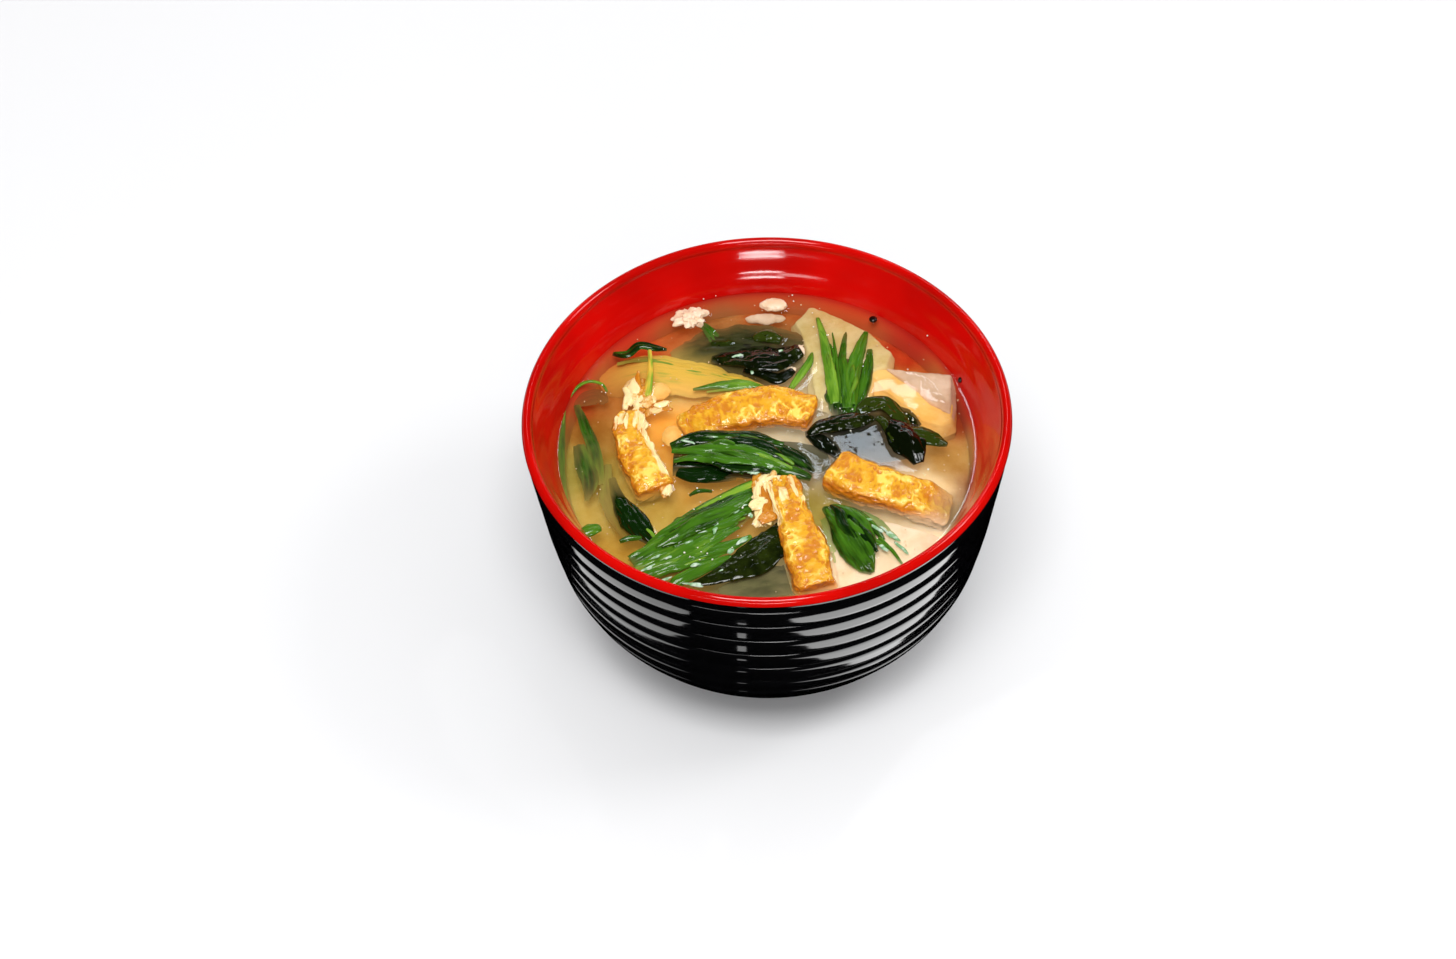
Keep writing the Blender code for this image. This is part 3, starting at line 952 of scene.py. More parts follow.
@dataclass
class Bowl:
    """The turned bowl. Radii and depths below the rim are in millimetres."""

    outside: tuple = ((0, 59.5), (18, 57.2), (34, 54.9), (44, 52.6), (52, 48.6), (59, 43.0), (64, 36.5),
                      (67, 30.5))
    inside: tuple = ((0, 58.3), (7, 54.9), (13, 52.2), (24, 49.0), (36, 43.6), (46, 35.0), (53, 22.0),
                     (56, 0.0))
    floor_depth: float = 56.0
    seat_steps: tuple = ((3.8, 0.08), (8.6, 0.135))
    step_softness: float = 0.8
    turn_steps: int = 288
    rib_count: int = 8
    rib_pitch: float = 6.6
    rib_bulge: float = 0.85
    rib_power: float = 5.0
    first_groove: float = 4.9
    lip_width: float = 2.6
    lip_depth: float = 1.9
    red_edge: float = 1.75
    foot_outer: float = 30.5
    foot_inner: float = 27.0
    foot_round: float = 0.6
    recess: float = 3.2

    @staticmethod
    def radius(stations: tuple, depth: Array) -> Array:
        """The smooth curve through (depth, radius) stations, by cubic Hermite spans.

        Args:
            stations: the (depth, radius) pairs.
            depth: where to read it.

        Returns:
            The radius at each depth.
        """
        x, y = np.array(stations, float).T
        slopes = np.gradient(y, x)
        slopes[0], slopes[-1] = (y[1] - y[0]) / (x[1] - x[0]), (y[-1] - y[-2]) / (x[-1] - x[-2])
        i = np.clip(np.searchsorted(x, depth) - 1, 0, len(x) - 2)
        width = x[i + 1] - x[i]
        t = (depth - x[i]) / width
        start = (2 * t**3 - 3 * t**2 + 1) * y[i] + (t**3 - 2 * t**2 + t) * slopes[i] * width
        return start + (3 * t**2 - 2 * t**3) * y[i + 1] + (t**3 - t**2) * slopes[i + 1] * width

    def inner_wall(self) -> tuple[Array, Array]:
        """Radii and depths from the axis up the inside to the lip."""
        quarter = np.linspace(0.0, math.pi / 2, 130)
        depth = self.floor_depth + (self.lip_depth - self.floor_depth) * (1.0 - np.cos(quarter))
        radius = self.radius(self.inside, depth)
        for middle, steepness in self.seat_steps:
            radius = radius - steepness * self.step_softness * np.tanh((depth - middle) / self.step_softness)
        return np.maximum(radius, 0.0), depth

    def lip(self) -> tuple[Array, Array]:
        """Radii and depths over the rounded lip, from its inner edge to its outer one."""
        angle = np.linspace(math.pi, 0.0, 28)[1:]
        centre = RIM_RADIUS / MM - self.lip_width / 2
        flare = self.radius(self.inside, np.full(len(angle), self.lip_depth))
        outer = centre + self.lip_width / 2 * np.cos(angle)
        inner_share = smooth(-np.cos(angle), 0.2, 1.0)
        radius = outer * (1 - inner_share) + np.maximum(outer, flare) * inner_share
        return radius, self.lip_depth * (1.0 - np.sin(angle))

    def ribs(self) -> tuple[Array, Array]:
        """Radii and depths down the ribs: broad and nearly flat, with a sharp groove between two."""
        per_rib = 20
        share = np.linspace(0.0, self.rib_count, self.rib_count * per_rib + 1)
        depth = self.first_groove + share * self.rib_pitch
        within = share % 1.0
        bulge = self.rib_bulge * (1.0 - np.abs(2.0 * within - 1.0) ** self.rib_power)
        return self.radius(self.outside, depth) - 0.1 + bulge, depth

    def foot(self) -> tuple[Array, Array]:
        """Radii and depths over the foot ring and in along the recess to the axis."""
        height = RIM_HEIGHT / MM
        edge = np.linspace(0.0, math.pi / 2, 7)
        soft = self.foot_round
        outer = (self.foot_outer - soft + soft * np.cos(edge), height - soft + soft * np.sin(edge))
        inner = (self.foot_inner + soft - soft * np.sin(edge), height - soft * (1 - np.cos(edge)))
        fillet = (np.array([self.foot_outer + 1.2, self.foot_outer + 0.3, self.foot_outer]),)
        fillet += (np.array([height - 6.0, height - 5.0, height - 3.6]),)
        inside = np.linspace(self.foot_inner - 0.3, 0.0, 12)
        recess = (inside, np.full(12, height - self.recess))
        return tuple(np.concatenate(parts) for parts in zip(fillet, outer, inner, recess))

    def build(self) -> bpy.types.Object:
        """Makes the bowl: black outside, red inside and over the lip."""
        parts = [self.inner_wall(), self.lip(), self.ribs(), self.foot()]
        radius, depth = (np.concatenate(column) for column in zip(*parts))
        red_to = len(parts[0][0]) + int(np.searchsorted(parts[1][1][13:], self.red_edge)) + 13
        turn = np.linspace(0.0, 2 * math.pi, self.turn_steps, endpoint=False)
        ring = np.stack([np.cos(turn), np.sin(turn), np.zeros_like(turn)], axis=-1)
        height = (RIM_HEIGHT - depth * MM)[:, None, None] * (0.0, 0.0, 1.0)
        points = radius[:, None, None] * MM * ring + height
        slots = (np.arange(len(radius) - 1) >= red_to - 1).astype(int)
        mesher = Mesher()
        mesher.grid(points, wrap=True, row_slots=slots)
        red, black = Lacquer(LacquerSide.INSIDE).material(), Lacquer(LacquerSide.OUTSIDE).material()
        piece = mesher.build("lacquer_bowl", red, black)
        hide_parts("bowl")
        return piece


def polar_sheet(radii: Array, steps: int, height: Array | float) -> Array:
    """A grid of points round the bowl's axis, one ring a row, at this height."""
    turn = np.linspace(0.0, 2 * math.pi, steps, endpoint=False)
    points = np.stack([np.cos(turn), np.sin(turn), np.zeros_like(turn)], axis=-1) * radii[:, None, None]
    points[..., 2] = height
    return points


@dataclass
class Broth:
    """The broth: a cloudy body below, and the water surface that the pieces break."""

    bowl: Bowl
    wall_rise: float = 0.05
    wall_reach: float = 0.3
    piece_rise: float = 0.09
    piece_reach: float = 0.5
    cell: float = 0.2
    overlap: float = 0.3
    widest: float = 51.9
    body_steps: int = 192

    def body(self) -> bpy.types.Object:
        """Makes the cloudy body. Its edge reaches just into the bowl's wall."""
        depth = np.linspace(self.bowl.floor_depth, (RIM_HEIGHT - SOUP_LEVEL + BROTH_CORE_DEPTH) / MM, 40)
        wall = self.bowl.radius(self.bowl.inside, depth)
        into_wall = np.minimum(wall + self.overlap, self.widest).clip(0.0)
        side = polar_sheet(into_wall * MM, self.body_steps, 0.0)
        side[..., 2] = (RIM_HEIGHT - depth * MM)[:, None]
        top_radii = np.linspace(into_wall[-1], 0.0, 60)[1:] * MM
        top = polar_sheet(top_radii, self.body_steps, SOUP_LEVEL - BROTH_CORE_DEPTH)
        top[..., 2] += 0.5 * MM * soft_noise(top, 12 * MM, 5, 2) * (top_radii / top_radii[0] < 0.97)[:, None]
        mesher = Mesher()
        mesher.grid(np.concatenate([side, top]), wrap=True)
        piece = mesher.build("broth_body", CloudyBroth().material())
        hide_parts("broth")
        return piece

    def nearness(self, places: Array, shores: Array) -> Array:
        """How near each place is to the nearest shore point, as piece_rise times a fading power.

        The shore points are marked on a square raster. The squared distance to the nearest
        mark is found along one axis and then along the other, up to a reach of 20 cells.

        Args:
            places: points of the surface.
            shores: points where pieces break the surface.

        Returns:
            The rise of the surface at each place, in metres.
        """
        half = int(SOUP_RADIUS / (self.cell * MM)) + 2
        raster = np.full((2 * half + 1, 2 * half + 1), 1e6)
        marks = np.clip(np.rint(shores[:, :2] / (self.cell * MM)).astype(int) + half, 0, 2 * half)
        raster[marks[:, 0], marks[:, 1]] = 0.0
        for axis in (0, 1):
            best = raster.copy()
            for step in range(1, 21):
                for moved in (np.roll(raster, step, axis), np.roll(raster, -step, axis)):
                    best = np.minimum(best, moved + step**2)
            raster = best
        distance = np.sqrt(raster) * self.cell
        cell = places[:, :2] / (self.cell * MM) + half
        low = np.clip(np.floor(cell).astype(int), 0, 2 * half - 1)
        part = np.clip(cell - low, 0.0, 1.0)
        value = np.zeros(len(places))
        for i, j in itertools.product((0, 1), repeat=2):
            weight = np.abs(1 - i - part[:, 0]) * np.abs(1 - j - part[:, 1])
            value += weight * distance[low[:, 0] + i, low[:, 1] + j]
        return self.piece_rise * MM * np.exp(-value / self.piece_reach)

    def surface(self, shores: Array) -> bpy.types.Object:
        """Makes the water surface, drawn up at the wall and round each piece.

        Args:
            shores: points where pieces break the surface.

        Returns:
            The surface.
        """
        share = 1.0 - np.linspace(0.0, 1.0, 240) ** 1.25
        radii = (SOUP_RADIUS + 0.28 * MM) * share
        points = polar_sheet(radii, 400, SOUP_LEVEL)
        flat = points.reshape(-1, 3)
        wall = (SOUP_RADIUS - np.linalg.norm(flat[:, :2], axis=1)).clip(0.0) / MM
        rise = self.wall_rise * MM * np.exp(-wall / self.wall_reach) + self.nearness(flat, shores)
        ripples = 0.02 * MM * soft_noise(flat, 7 * MM, 31, 2)
        flat[:, 2] += rise + ripples * smooth(wall, 0.5, 3.0)
        mesher = Mesher()
        mesher.grid(points, wrap=True)
        piece = mesher.build("broth_surface", WetFilm("broth_film").material())
        return piece


# ---------------------------------------------------------------- what floats in the soup


@dataclass(frozen=True)
class Blade:
    """A leaf or a strip of weed: a thin sheet carried along a spine. Sizes in millimetres.

    Attributes:
        spine: points along the middle, with heights from the soup's level.
        widths: half widths along the spine.
        tone: 0 for the darkest colour, 1 for a pale stalk.
        arch: how far the middle stands over the edges.
        roll: the turn about the spine at its start and its end, in degrees.
        waves: how far the sheet is crumpled.
        crease: depth of the groove along the middle.
        thickness: of the sheet.
        pleats: height of the folds that run lengthwise, as a share of waves.
        crumple: height of the small folds that run every way.
    """

    spine: Sequence[Sequence[float]]
    widths: Sequence[float]
    tone: float = 0.3
    arch: float = 0.6
    roll: tuple[float, float] = (0.0, 0.0)
    waves: float = 0.35
    crease: float = 0.0
    thickness: float = 0.45
    pleats: float = 0.32
    crumple: float = 0.10

    def add_to(self, mesher: Mesher, seed: int, ragged: float = 0.10) -> None:
        """Adds the blade to a mesh.

        Its section is a parabola, arch * (1 - s^2), with a groove down the middle, moved by
        smooth noise. Its edge wanders by noise along its length.

        Args:
            mesher: where it goes.
            seed: which noise.
            ragged: how much the edge wanders, as a share of the width.
        """
        length = float(np.linalg.norm(np.diff(np.array(self.spine, float), axis=0), axis=1).sum())
        t = np.linspace(0.0, 1.0, int(np.clip(length * 4.5, 30, 150)))
        half = eased(self.widths, t).clip(0.12)
        columns = int(np.clip(max(self.widths) * 9, 11, 61))
        s = np.linspace(-1.0, 1.0, columns)
        s = s * (1.15 - 0.15 * s * s)
        spine = through(in_soup(self.spine), t)
        where = np.stack(np.broadcast_arrays(t[:, None] * length, s * half[:, None], 9.0 * seed), axis=-1)
        sides = where[:, :1] * (1, 0, 1) + np.sign(s)[:, None] * (0, 7, 0)
        edge = 1.0 + ragged * soft_noise(sides, 2.6, seed, 3)
        side = s * half[:, None] * edge
        rise = self.arch * (1.0 - s**2) - self.crease * np.exp(-((s * half[:, None] / 0.35) ** 2))
        folds = soft_noise(where * (0.45, 1.0, 1.0), 3.4, seed, 3)
        taper = np.minimum(1.0, half / max(self.widths) * 1.6)[:, None]
        wander = soft_noise(where * (0.25, 0.5, 1.0), 3.0, seed + 3, 2)
        pleats = np.sin(s * half[:, None] * 5.2 + 2.4 * wander)
        fine = soft_noise(where * (0.6, 1.3, 1.0), 1.3, seed + 5, 2)
        rise = rise * taper + (self.waves * (folds + self.pleats * pleats) + self.crumple * fine) * taper
        roll = np.radians(self.roll[0] + (self.roll[1] - self.roll[0]) * t)
        points = carried(spine, side * MM, rise * MM, roll)
        facts = {
            "along": where[..., 0] + 31.0 * seed,
            "across": where[..., 1],
            "tone": np.full(points.shape[:2], self.tone),
        }
        rim = np.minimum(1.0, (1.0 - np.abs(s)) * half[:, None] / 0.5) ** 0.5
        ends = np.minimum(1.0, np.minimum(t, 1.0 - t) * length / 0.6 + 0.1)[:, None] ** 0.5
        mesher.shell(points, self.thickness * MM * np.maximum(rim * ends, 0.15), facts)


@dataclass(frozen=True)
class Weed(Blade):
    """A frond of wakame: crumpled every way, with no folds along it."""

    pleats: float = 0.0
    crumple: float = 0.2


@dataclass(frozen=True)
class Sheaf:
    """Narrow blades that run side by side between two spines. Sizes in millimetres.

    Attributes:
        first, second: the outer spines, with as many points each.
        count: how many blades.
        half_widths: the narrowest and the widest.
        tones: the darkest and the palest.
        lift: how far the middle of the sheaf stands over its sides.
        trim: the largest share of its length that a blade lacks at either end.
    """

    first: Sequence[Sequence[float]]
    second: Sequence[Sequence[float]]
    count: int
    half_widths: tuple[float, float] = (0.6, 1.6)
    tones: tuple[float, float] = (0.05, 0.7)
    lift: float = 0.4
    trim: float = 0.35

    def add_to(self, mesher: Mesher, seed: int) -> None:
        """Adds the blades, each at a random place between the spines.

        Args:
            mesher: where they go.
            seed: which random set.
        """
        random = np.random.default_rng(seed)
        first, second = np.array(self.first, float), np.array(self.second, float)
        for index in range(self.count):
            share = (index + random.uniform(0.1, 0.9)) / self.count
            t = np.linspace(random.uniform(0, self.trim), 1 - random.uniform(0, self.trim), 5)
            spine = through(first * (1 - share) + second * share, t) + random.normal(0, 0.22, (5, 3))
            spine[:, 2] += self.lift * math.sin(math.pi * share) + random.uniform(-0.2, 0.35)
            widths = random.uniform(*self.half_widths) * np.array([0.25, 0.8, 1.0, 0.85, 0.2])
            roll = tuple(random.normal(0, 16, 2))
            crease = random.uniform(-0.1, 0.25)
            blade = Blade(spine, widths, random.uniform(*self.tones), 0.55, roll, 0.22, crease)
            blade.add_to(mesher, seed + index, 0.2)


@dataclass(frozen=True)
class Stalk:
    """A round stalk along a spine, in millimetres."""

    spine: Sequence[Sequence[float]]
    radii: Sequence[float]
    tone: float = 0.75
    flat: float = 0.75

    def add_to(self, mesher: Mesher, seed: int) -> None:
        """Adds the stalk: rings along the path, flattened, with five low ridges.

        Args:
            mesher: where it goes.
            seed: which noise.
        """
        length = float(np.linalg.norm(np.diff(np.array(self.spine, float), axis=0), axis=1).sum())
        t = np.linspace(0.0, 1.0, int(np.clip(length * 4, 24, 140)))
        turn = np.linspace(0.0, 2 * math.pi, 24, endpoint=False)
        ends = np.sqrt(np.clip(np.minimum(t, 1 - t) * length / 0.8, 0.02, 1.0))
        radius = (eased(self.radii, t) * ends)[:, None] * (1.0 + 0.06 * np.cos(turn * 5))
        points = carried(
            through(in_soup(self.spine), t),
            radius * np.cos(turn) * MM,
            radius * np.sin(turn) * MM * self.flat,
            np.zeros(len(t)),
        )
        points[..., 2] += 0.12 * MM * soft_noise(points, 2.4 * MM, seed, 2)
        facts = {
            "along": np.broadcast_to(t[:, None] * length + 31.0 * seed, radius.shape),
            "across": radius * np.cos(turn),
            "tone": np.full(radius.shape, self.tone),
        }
        mesher.grid(points, wrap=True, closed=True, facts=facts)


@dataclass(frozen=True)
class Bunch:
    """Blades and stalks that make one piece.

    Attributes:
        name: the piece's name.
        parts: what it is made of.
        nodes: the CAD nodes that it stands for.
        slot: not used.
    """

    name: str
    parts: Sequence[Blade | Sheaf | Stalk]
    nodes: Sequence[str] = ()
    slot: str = "spinach"

    def build(self, finish: bpy.types.Material, seed: int) -> tuple[bpy.types.Object, Array]:
        """Makes the piece.

        Args:
            finish: its material.
            seed: which noise.

        Returns:
            The piece, and the points where it breaks the surface.
        """
        mesher = Mesher()
        for index, part in enumerate(self.parts):
            part.add_to(mesher, seed + index)
        return mesher.garnish(self.name, finish, self.nodes)


SPINACH = (
    Bunch("spinach_bundle_centre", (
        Blade(((-23.4, -4.6, -0.9), (-12, -5.2, -0.6), (0, -6.3, -0.8), (9.5, -8.3, -1.6)),
              (3.6, 5, 4.6, 2.6), -0.1),
        Blade(((-23.8, 0.2, -0.4), (-18, 1.4, 0.9), (-10.7, 0.8, 1.2), (-3.1, 0.4, 1), (4, -1.6, 0.4)),
              (1.2, 2.1, 2.4, 2.2, 1), 0.12, 0.8, (-12, -20), 0.3, 0.3),
        Blade(((-23.5, -1.2, 0), (-16.5, -2.9, 1.2), (-10.9, -5.3, 1.8), (-3.4, -7, 1.8), (3, -9.4, 0.9)),
              (1, 1.9, 2.8, 2.6, 1.4), 0.34, 1, (18, 24), 0.35, 0.35),
        Blade(((-23.2, -5, 0.1), (-18.4, -5, 0.9), (-12.8, -6.4, 1), (-6, -9.8, 0.3)),
              (0.8, 1.5, 1.9, 1.2), 0.30, 0.8, (26, 30), 0.3, 0.2),
        Blade(((-22.4, -8, -0.3), (-18, -9.6, 0), (-13.4, -9.8, -0.3), (-8, -9.4, -1.2)),
              (1.4, 2.2, 1.9, 1), -0.1, 0.6),
        Stalk(((-14, -2.6, 1.5), (-8, -3.6, 2.1), (-2, -5.4, 2.2), (3, -8, 1.6), (6, -9.2, 0.8)),
              (0.3, 0.6, 0.7, 0.6, 0.4), 0.72),
        Stalk(((-16, -4.6, 1), (-9, -6.6, 1.8), (-3, -8.4, 1.8), (2.4, -10.6, 1)), (0.2, 0.5, 0.6, 0.4),
              0.62),
        Stalk(((-8, -1.2, 1.4), (-2, -2.8, 1.9), (3.4, -5.8, 1.5), (6.4, -8, 0.8)), (0.3, 0.5, 0.6, 0.4),
              0.6),
        Blade(((-2.4, 1, -0.2), (3.4, -2.2, -0.3), (8.2, -5.6, -0.6), (11.4, -9.4, -1)),
              (0.8, 2, 2.6, 1.2), 0.02, 0.7, (0, 10), 0.2, 0.2),
        Blade(((2, -9, 0.4), (6, -9.6, 0.3), (10.4, -11.4, -0.6)), (1, 1.8, 0.8), 0.22, 0.5),
        Blade(((2.6, 0.6, -0.9), (7.6, -2.2, -0.75), (11.6, -5.2, -0.75), (13.8, -8.8, -0.9)),
              (1, 2.8, 3.4, 1.8), -0.1, 0.1, (0, 0), 0.1, 0, 0.45, 0, 0.05),
        Sheaf(((-22.6, 1.4, 0.2), (-14, 1.8, 1.4), (-6, 0.6, 1.6), (1, -1.8, 1.2), (7, -6.4, 0.2)),
              ((-22.4, -6.4, 0), (-15, -7.4, 1), (-8, -9.6, 1.2), (0, -11.2, 0.9), (5, -11.4, 0)),
              7, (1.4, 2.6), (-0.1, 0.5), 0.7),
    ), ("spinach_centre",)),
    Bunch("spinach_bundle_front_left", (
        Blade(((-3, -17, -1.6), (-13, -24, -1.5), (-22, -31, -1.8), (-31, -38, -2.6)), (2.6, 4.6, 6.2, 6),
              0.22),
        Blade(((-0.6, -11.4, 0.2), (-9, -15.6, 0.2), (-17, -20.4, -0.2), (-26, -26.4, -1.2)),
              (0.7, 1.2, 1.2, 0.8), 0.34, 0.5, (10, 10)),
        Stalk(((-0.4, -12, 0.8), (-3.6, -13.6, 1), (-11.2, -17.6, 0.8), (-18.8, -22.2, 0.2),
               (-26.3, -26.6, -0.8)),
              (0.6, 1, 1, 0.9, 0.6), 0.86, 0.5),
        Blade(((-1.6, -15.4, 0.1), (-9, -19.8, 0.4), (-17, -24.2, 0.2), (-26, -29.4, -0.8)),
              (1.3, 1.7, 1.6, 1), 0.30, 0.6, (8, 8), 0.3, 0.3),
        Blade(((-5, -20.4, 0.3), (-10, -22.8, 0.8), (-17, -26.4, 0.7), (-25, -30.6, 0.2), (-34, -35.2, -1)),
              (1.5, 2.9, 3.4, 3, 1.8), 0.40, 0.8, (4, 10), 0.45, 0.4),
        Blade(((-12, -28.4, 0.1), (-19, -31.6, 0.3), (-26, -34.4, 0), (-33, -37.2, -1.2)),
              (0.5, 1.5, 1.8, 1), 0.58, 0.5, (6, 10)),
        Blade(((-4.9, -29.6, 0.1), (-11.6, -33.2, 0.6), (-19.1, -35.8, 0.5), (-26.4, -38.2, -0.1),
               (-32, -39.6, -1.2)),
              (0.6, 1.7, 2.1, 2.2, 1.2), 0.46, 0.7, (6, 12), 0.4, 0.3),
        Blade(((-9.9, -35.4, -0.1), (-15.4, -38.2, 0.3), (-22, -41.8, 0), (-25, -43.4, -0.8)),
              (0.5, 1.5, 1.7, 0.9), 0.42, 0.6, (6, 12)),
        Stalk(((-8, -20, 0.9), (-15, -24.2, 1.3), (-23, -28.4, 0.8), (-30, -32.4, -0.2)),
              (0.2, 0.5, 0.5, 0.3), 0.7),
        Stalk(((-6, -23.6, 0.2), (-14, -27.6, 0.7), (-22, -31.6, 0.5), (-30, -35.4, -0.4)),
              (0.3, 0.5, 0.6, 0.3), 0.66),
        Stalk(((-7.5, -31.6, 0.3), (-15, -35.2, 0.9), (-22, -38.2, 0.4), (-28, -40.4, -0.6)),
              (0.2, 0.5, 0.5, 0.3), 0.7),
        Blade(((-19.6, -15.4, -0.6), (-17.4, -14.6, 0.2), (-14, -14.4, -0.5)), (0.4, 0.7, 0.4), 0.2, 0.3),
        Sheaf(((-1, -13.4, 0.4), (-9, -17.4, 0.9), (-18, -22.6, 0.7), (-27, -28.2, 0.2), (-34, -33.6, -0.9)),
              ((-6, -26, 0.2), (-12, -30.4, 0.6), (-19, -34.4, 0.6), (-26, -37.8, 0.1), (-32, -39.8, -0.9)),
              9, (1.5, 2.9), (0.2, 0.62), 0.5),
    ), ("spinach_front_left",)),
    Bunch("spinach_leaves_front_right", (
        Blade(((13.6, -23, -1.5), (16.5, -29, -1.5), (19.6, -35, -1.6), (21.6, -41, -2.2)),
              (1.6, 4, 5.4, 3), 0.6, 0.2),
        Blade(((13.2, -20.6, -0.7), (16.4, -26, 0.3), (18.6, -32, 0.6), (21.4, -38, 0.3),
               (23.6, -41.6, -0.7)),
              (0.8, 2.6, 3.7, 3.4, 0.6), 0.26, 0.9, (-6, -16), 0.3, 0),
        Blade(((15, -20.8, 0), (20, -23.8, 0.8), (24, -27.6, 0.6), (27, -31.8, -0.4)), (0.6, 1.3, 1.2, 0.4),
              0.24, 0.7, (-20, -10)),
        Blade(((18.4, -26.6, 0.9), (21.2, -29.4, 1.4), (23.7, -32, 0.9), (28, -34.6, -0.3)),
              (0.8, 1.6, 1.2, 0.4), 0.42, 0.6, (10, 20)),
        Stalk(((25.6, -31.4, 0.3), (28.4, -35, 0.1), (31, -39.4, -0.6)), (0.4, 0.5, 0.3), 0.5),
        Blade(((20, -21.4, -0.9), (26, -26, -0.9), (31, -32.4, -1.4)), (0.6, 1.3, 0.6), 0.55, 0.2),
        Sheaf(((13.6, -21, 0.2), (15.6, -27, 0.8), (18, -33, 0.9), (22, -40, 0)),
              ((16.4, -20.8, 0.4), (21.4, -25.6, 1.1), (24.4, -30.6, 0.8), (27.6, -35.4, -0.2)),
              4, (1.2, 2.2), (0, 0.45), 0.4, 0.3),
    ), ("spinach_front_right",)),
    Bunch("spinach_sprig_back_right", (
        Blade(((20.6, 28, -1.4), (20.6, 19, -0.5), (20.3, 12, -0.3), (20.2, 8, -1.2)), (2.6, 4.8, 4.6, 2.4),
              0.16, 0.6),
        Blade(((14.6, 42.6, -0.5), (15.6, 36, 0.3), (16.3, 28, 0.6), (17, 20, 0.6), (17.6, 12.4, -0.2)),
              (0.5, 1, 1.3, 1.6, 1.5), 0.62, 0.5, (0, -14), 0.15, 0.2),
        Blade(((21.6, 37.8, -0.9), (20.4, 30, -0.1), (19.6, 22, 0.3), (20.2, 10.4, 0)),
              (0.4, 0.9, 1.5, 2.1), 0.26, 0.5, (0, 0), 0.2, 0.2),
        Blade(((26.8, 37, -0.5), (24.8, 30.6, 0.3), (22.6, 22.6, 0.5), (21.6, 11.6, 0)),
              (0.6, 1.5, 1.9, 1.6), 0.42, 0.5, (0, 8), 0.2, 0.3),
        Blade(((27.4, 31, -0.9), (26.4, 23.6, -0.2), (24.6, 15.6, -0.1), (21.6, 9.4, -0.6)),
              (0.7, 1.5, 1.5, 0.9), 0.26, 0.5, (0, 16)),
        Stalk(((17.6, 27, 0.7), (18.2, 18, 0.8), (19.4, 11, 0.3)), (0.3, 0.5, 0.3), 0.74),
        Sheaf(((15, 38, -0.2), (16.2, 28, 0.3), (17, 19, 0.4), (18.4, 10.6, 0)),
              ((25.6, 33, -0.3), (24.4, 25, 0.2), (22.8, 17.6, 0.3), (21.2, 10.2, -0.1)),
              7, (0.4, 0.9), (0.2, 0.6), 0.1, 0.45),
        Blade(((12.6, 30.4, -0.5), (11.6, 26.6, 0.2), (9.3, 22.4, 0.4), (6.6, 18.2, -0.4)),
              (0.4, 1, 1.1, 0.8), 0.6, 0.5),
    ), ("spinach_back_right",)),
    Bunch("spinach_leaf_left", (
        Blade(((-38.6, -8, -1.8), (-37, -15, -1), (-34.8, -20.4, -0.2), (-32.2, -25, 0.1),
               (-28.4, -29.8, -0.5)),
              (0.9, 1.7, 3, 3.1, 1.2), -0.04, 0.7, (0, -10), 0.3, 0.2),
        Blade(((-36.6, -29.4, -0.4), (-34.4, -28.6, 0), (-31, -28.4, -0.3)), (0.5, 0.9, 0.5), 0.2, 0.3),
        Stalk(((-31.2, -25.6, 0.5), (-29, -27.8, 0.6), (-27.4, -30.2, 0)), (0.3, 0.5, 0.3), 0.7),
    ), ("spinach_left",)),
    Bunch("spinach_sunk_left", (
        Blade(((-47.4, 16.2, -1.2), (-45, 7.6, -0.6), (-42.8, 0, -0.7), (-41.4, -10, -1.6)),
              (0.8, 1.4, 1.7, 1), 0.22, 0.2),
        Blade(((-46.8, 3, -1.5), (-45.2, -4, -1), (-44, -10, -1.1), (-44.8, -15, -1.7)), (1.4, 2.5, 2, 0.5),
              0.16, 0.3),
        Blade(((-50.6, 14, -1), (-51, 6, -0.8), (-51, -5, -1), (-49.6, -16, -1.2)), (0.5, 0.9, 0.9, 0.5),
              0.3, 0.1),
        Blade(((-39.6, -3, -2.6), (-40, -12, -2.2), (-38, -20, -2.2), (-35, -27, -2)), (0.9, 1.8, 1.8, 1),
              0.14, 0.3),
        Stalk(((-51, 4, -0.7), (-50.6, 12, -0.5), (-49.6, 17, -0.3), (-47, 21.4, -0.1), (-44, 23, -0.1),
               (-41, 22, -0.2), (-39.6, 19.6, -0.5)),
              (0.25, 0.35, 0.4, 0.45, 0.45, 0.4, 0.3), 0.62),
        Blade(((-47.6, 16.8, -2.4), (-45, 18.8, -2.1), (-42, 19.4, -2.1), (-40.2, 17.4, -2.5)),
              (0.8, 2.4, 2.4, 0.8), -0.1, 0.1),
        Blade(((-46.6, -26.6, -0.2), (-43.8, -25.7, 0.1), (-41.2, -25, -0.2)), (1.1, 1.9, 0.9), 0.5, 0.6),
        Blade(((-38.2, 32.6, -0.5), (-34.5, 31.8, 0), (-31.5, 34, 0.5), (-28, 33.6, 0.4),
               (-24.4, 33.4, -0.4)),
              (0.6, 1.4, 1.3, 1.1, 0.5), 0.08, 0.4),
        Stalk(((-28.8, 33.2, 0.3), (-28.6, 29, 0.3), (-28.8, 23.6, 0.2), (-29.6, 17, -0.2)),
              (0.5, 0.6, 0.9, 1.1), 1.05),
        Blade(((-41, 26.4, -7), (-30, 27.6, -3.4), (-16, 24.4, -2.8), (-6, 20.6, -2.2), (2, 18.2, -1.6)),
              (4, 5.8, 5, 3.4, 1), 1.16, 2.2, (-14, -12), 0.2),
        Blade(((-37.2, 30.4, -2), (-29, 31, -1.5), (-19.4, 27.2, -1.3), (-9.8, 23.8, -1.1), (-1, 20.2, -0.8)),
              (0.9, 1.7, 1.6, 1.4, 0.5), 0.66, 0.3, (30, 30), 0.2),
        Blade(((-18, 19.4, -0.7), (-11, 20.4, -0.3), (-5, 20.2, -0.2), (0.6, 18.6, -0.6)),
              (0.4, 1.3, 1.5, 0.5), 0.56, 0.4, (0, 0), 0.2),
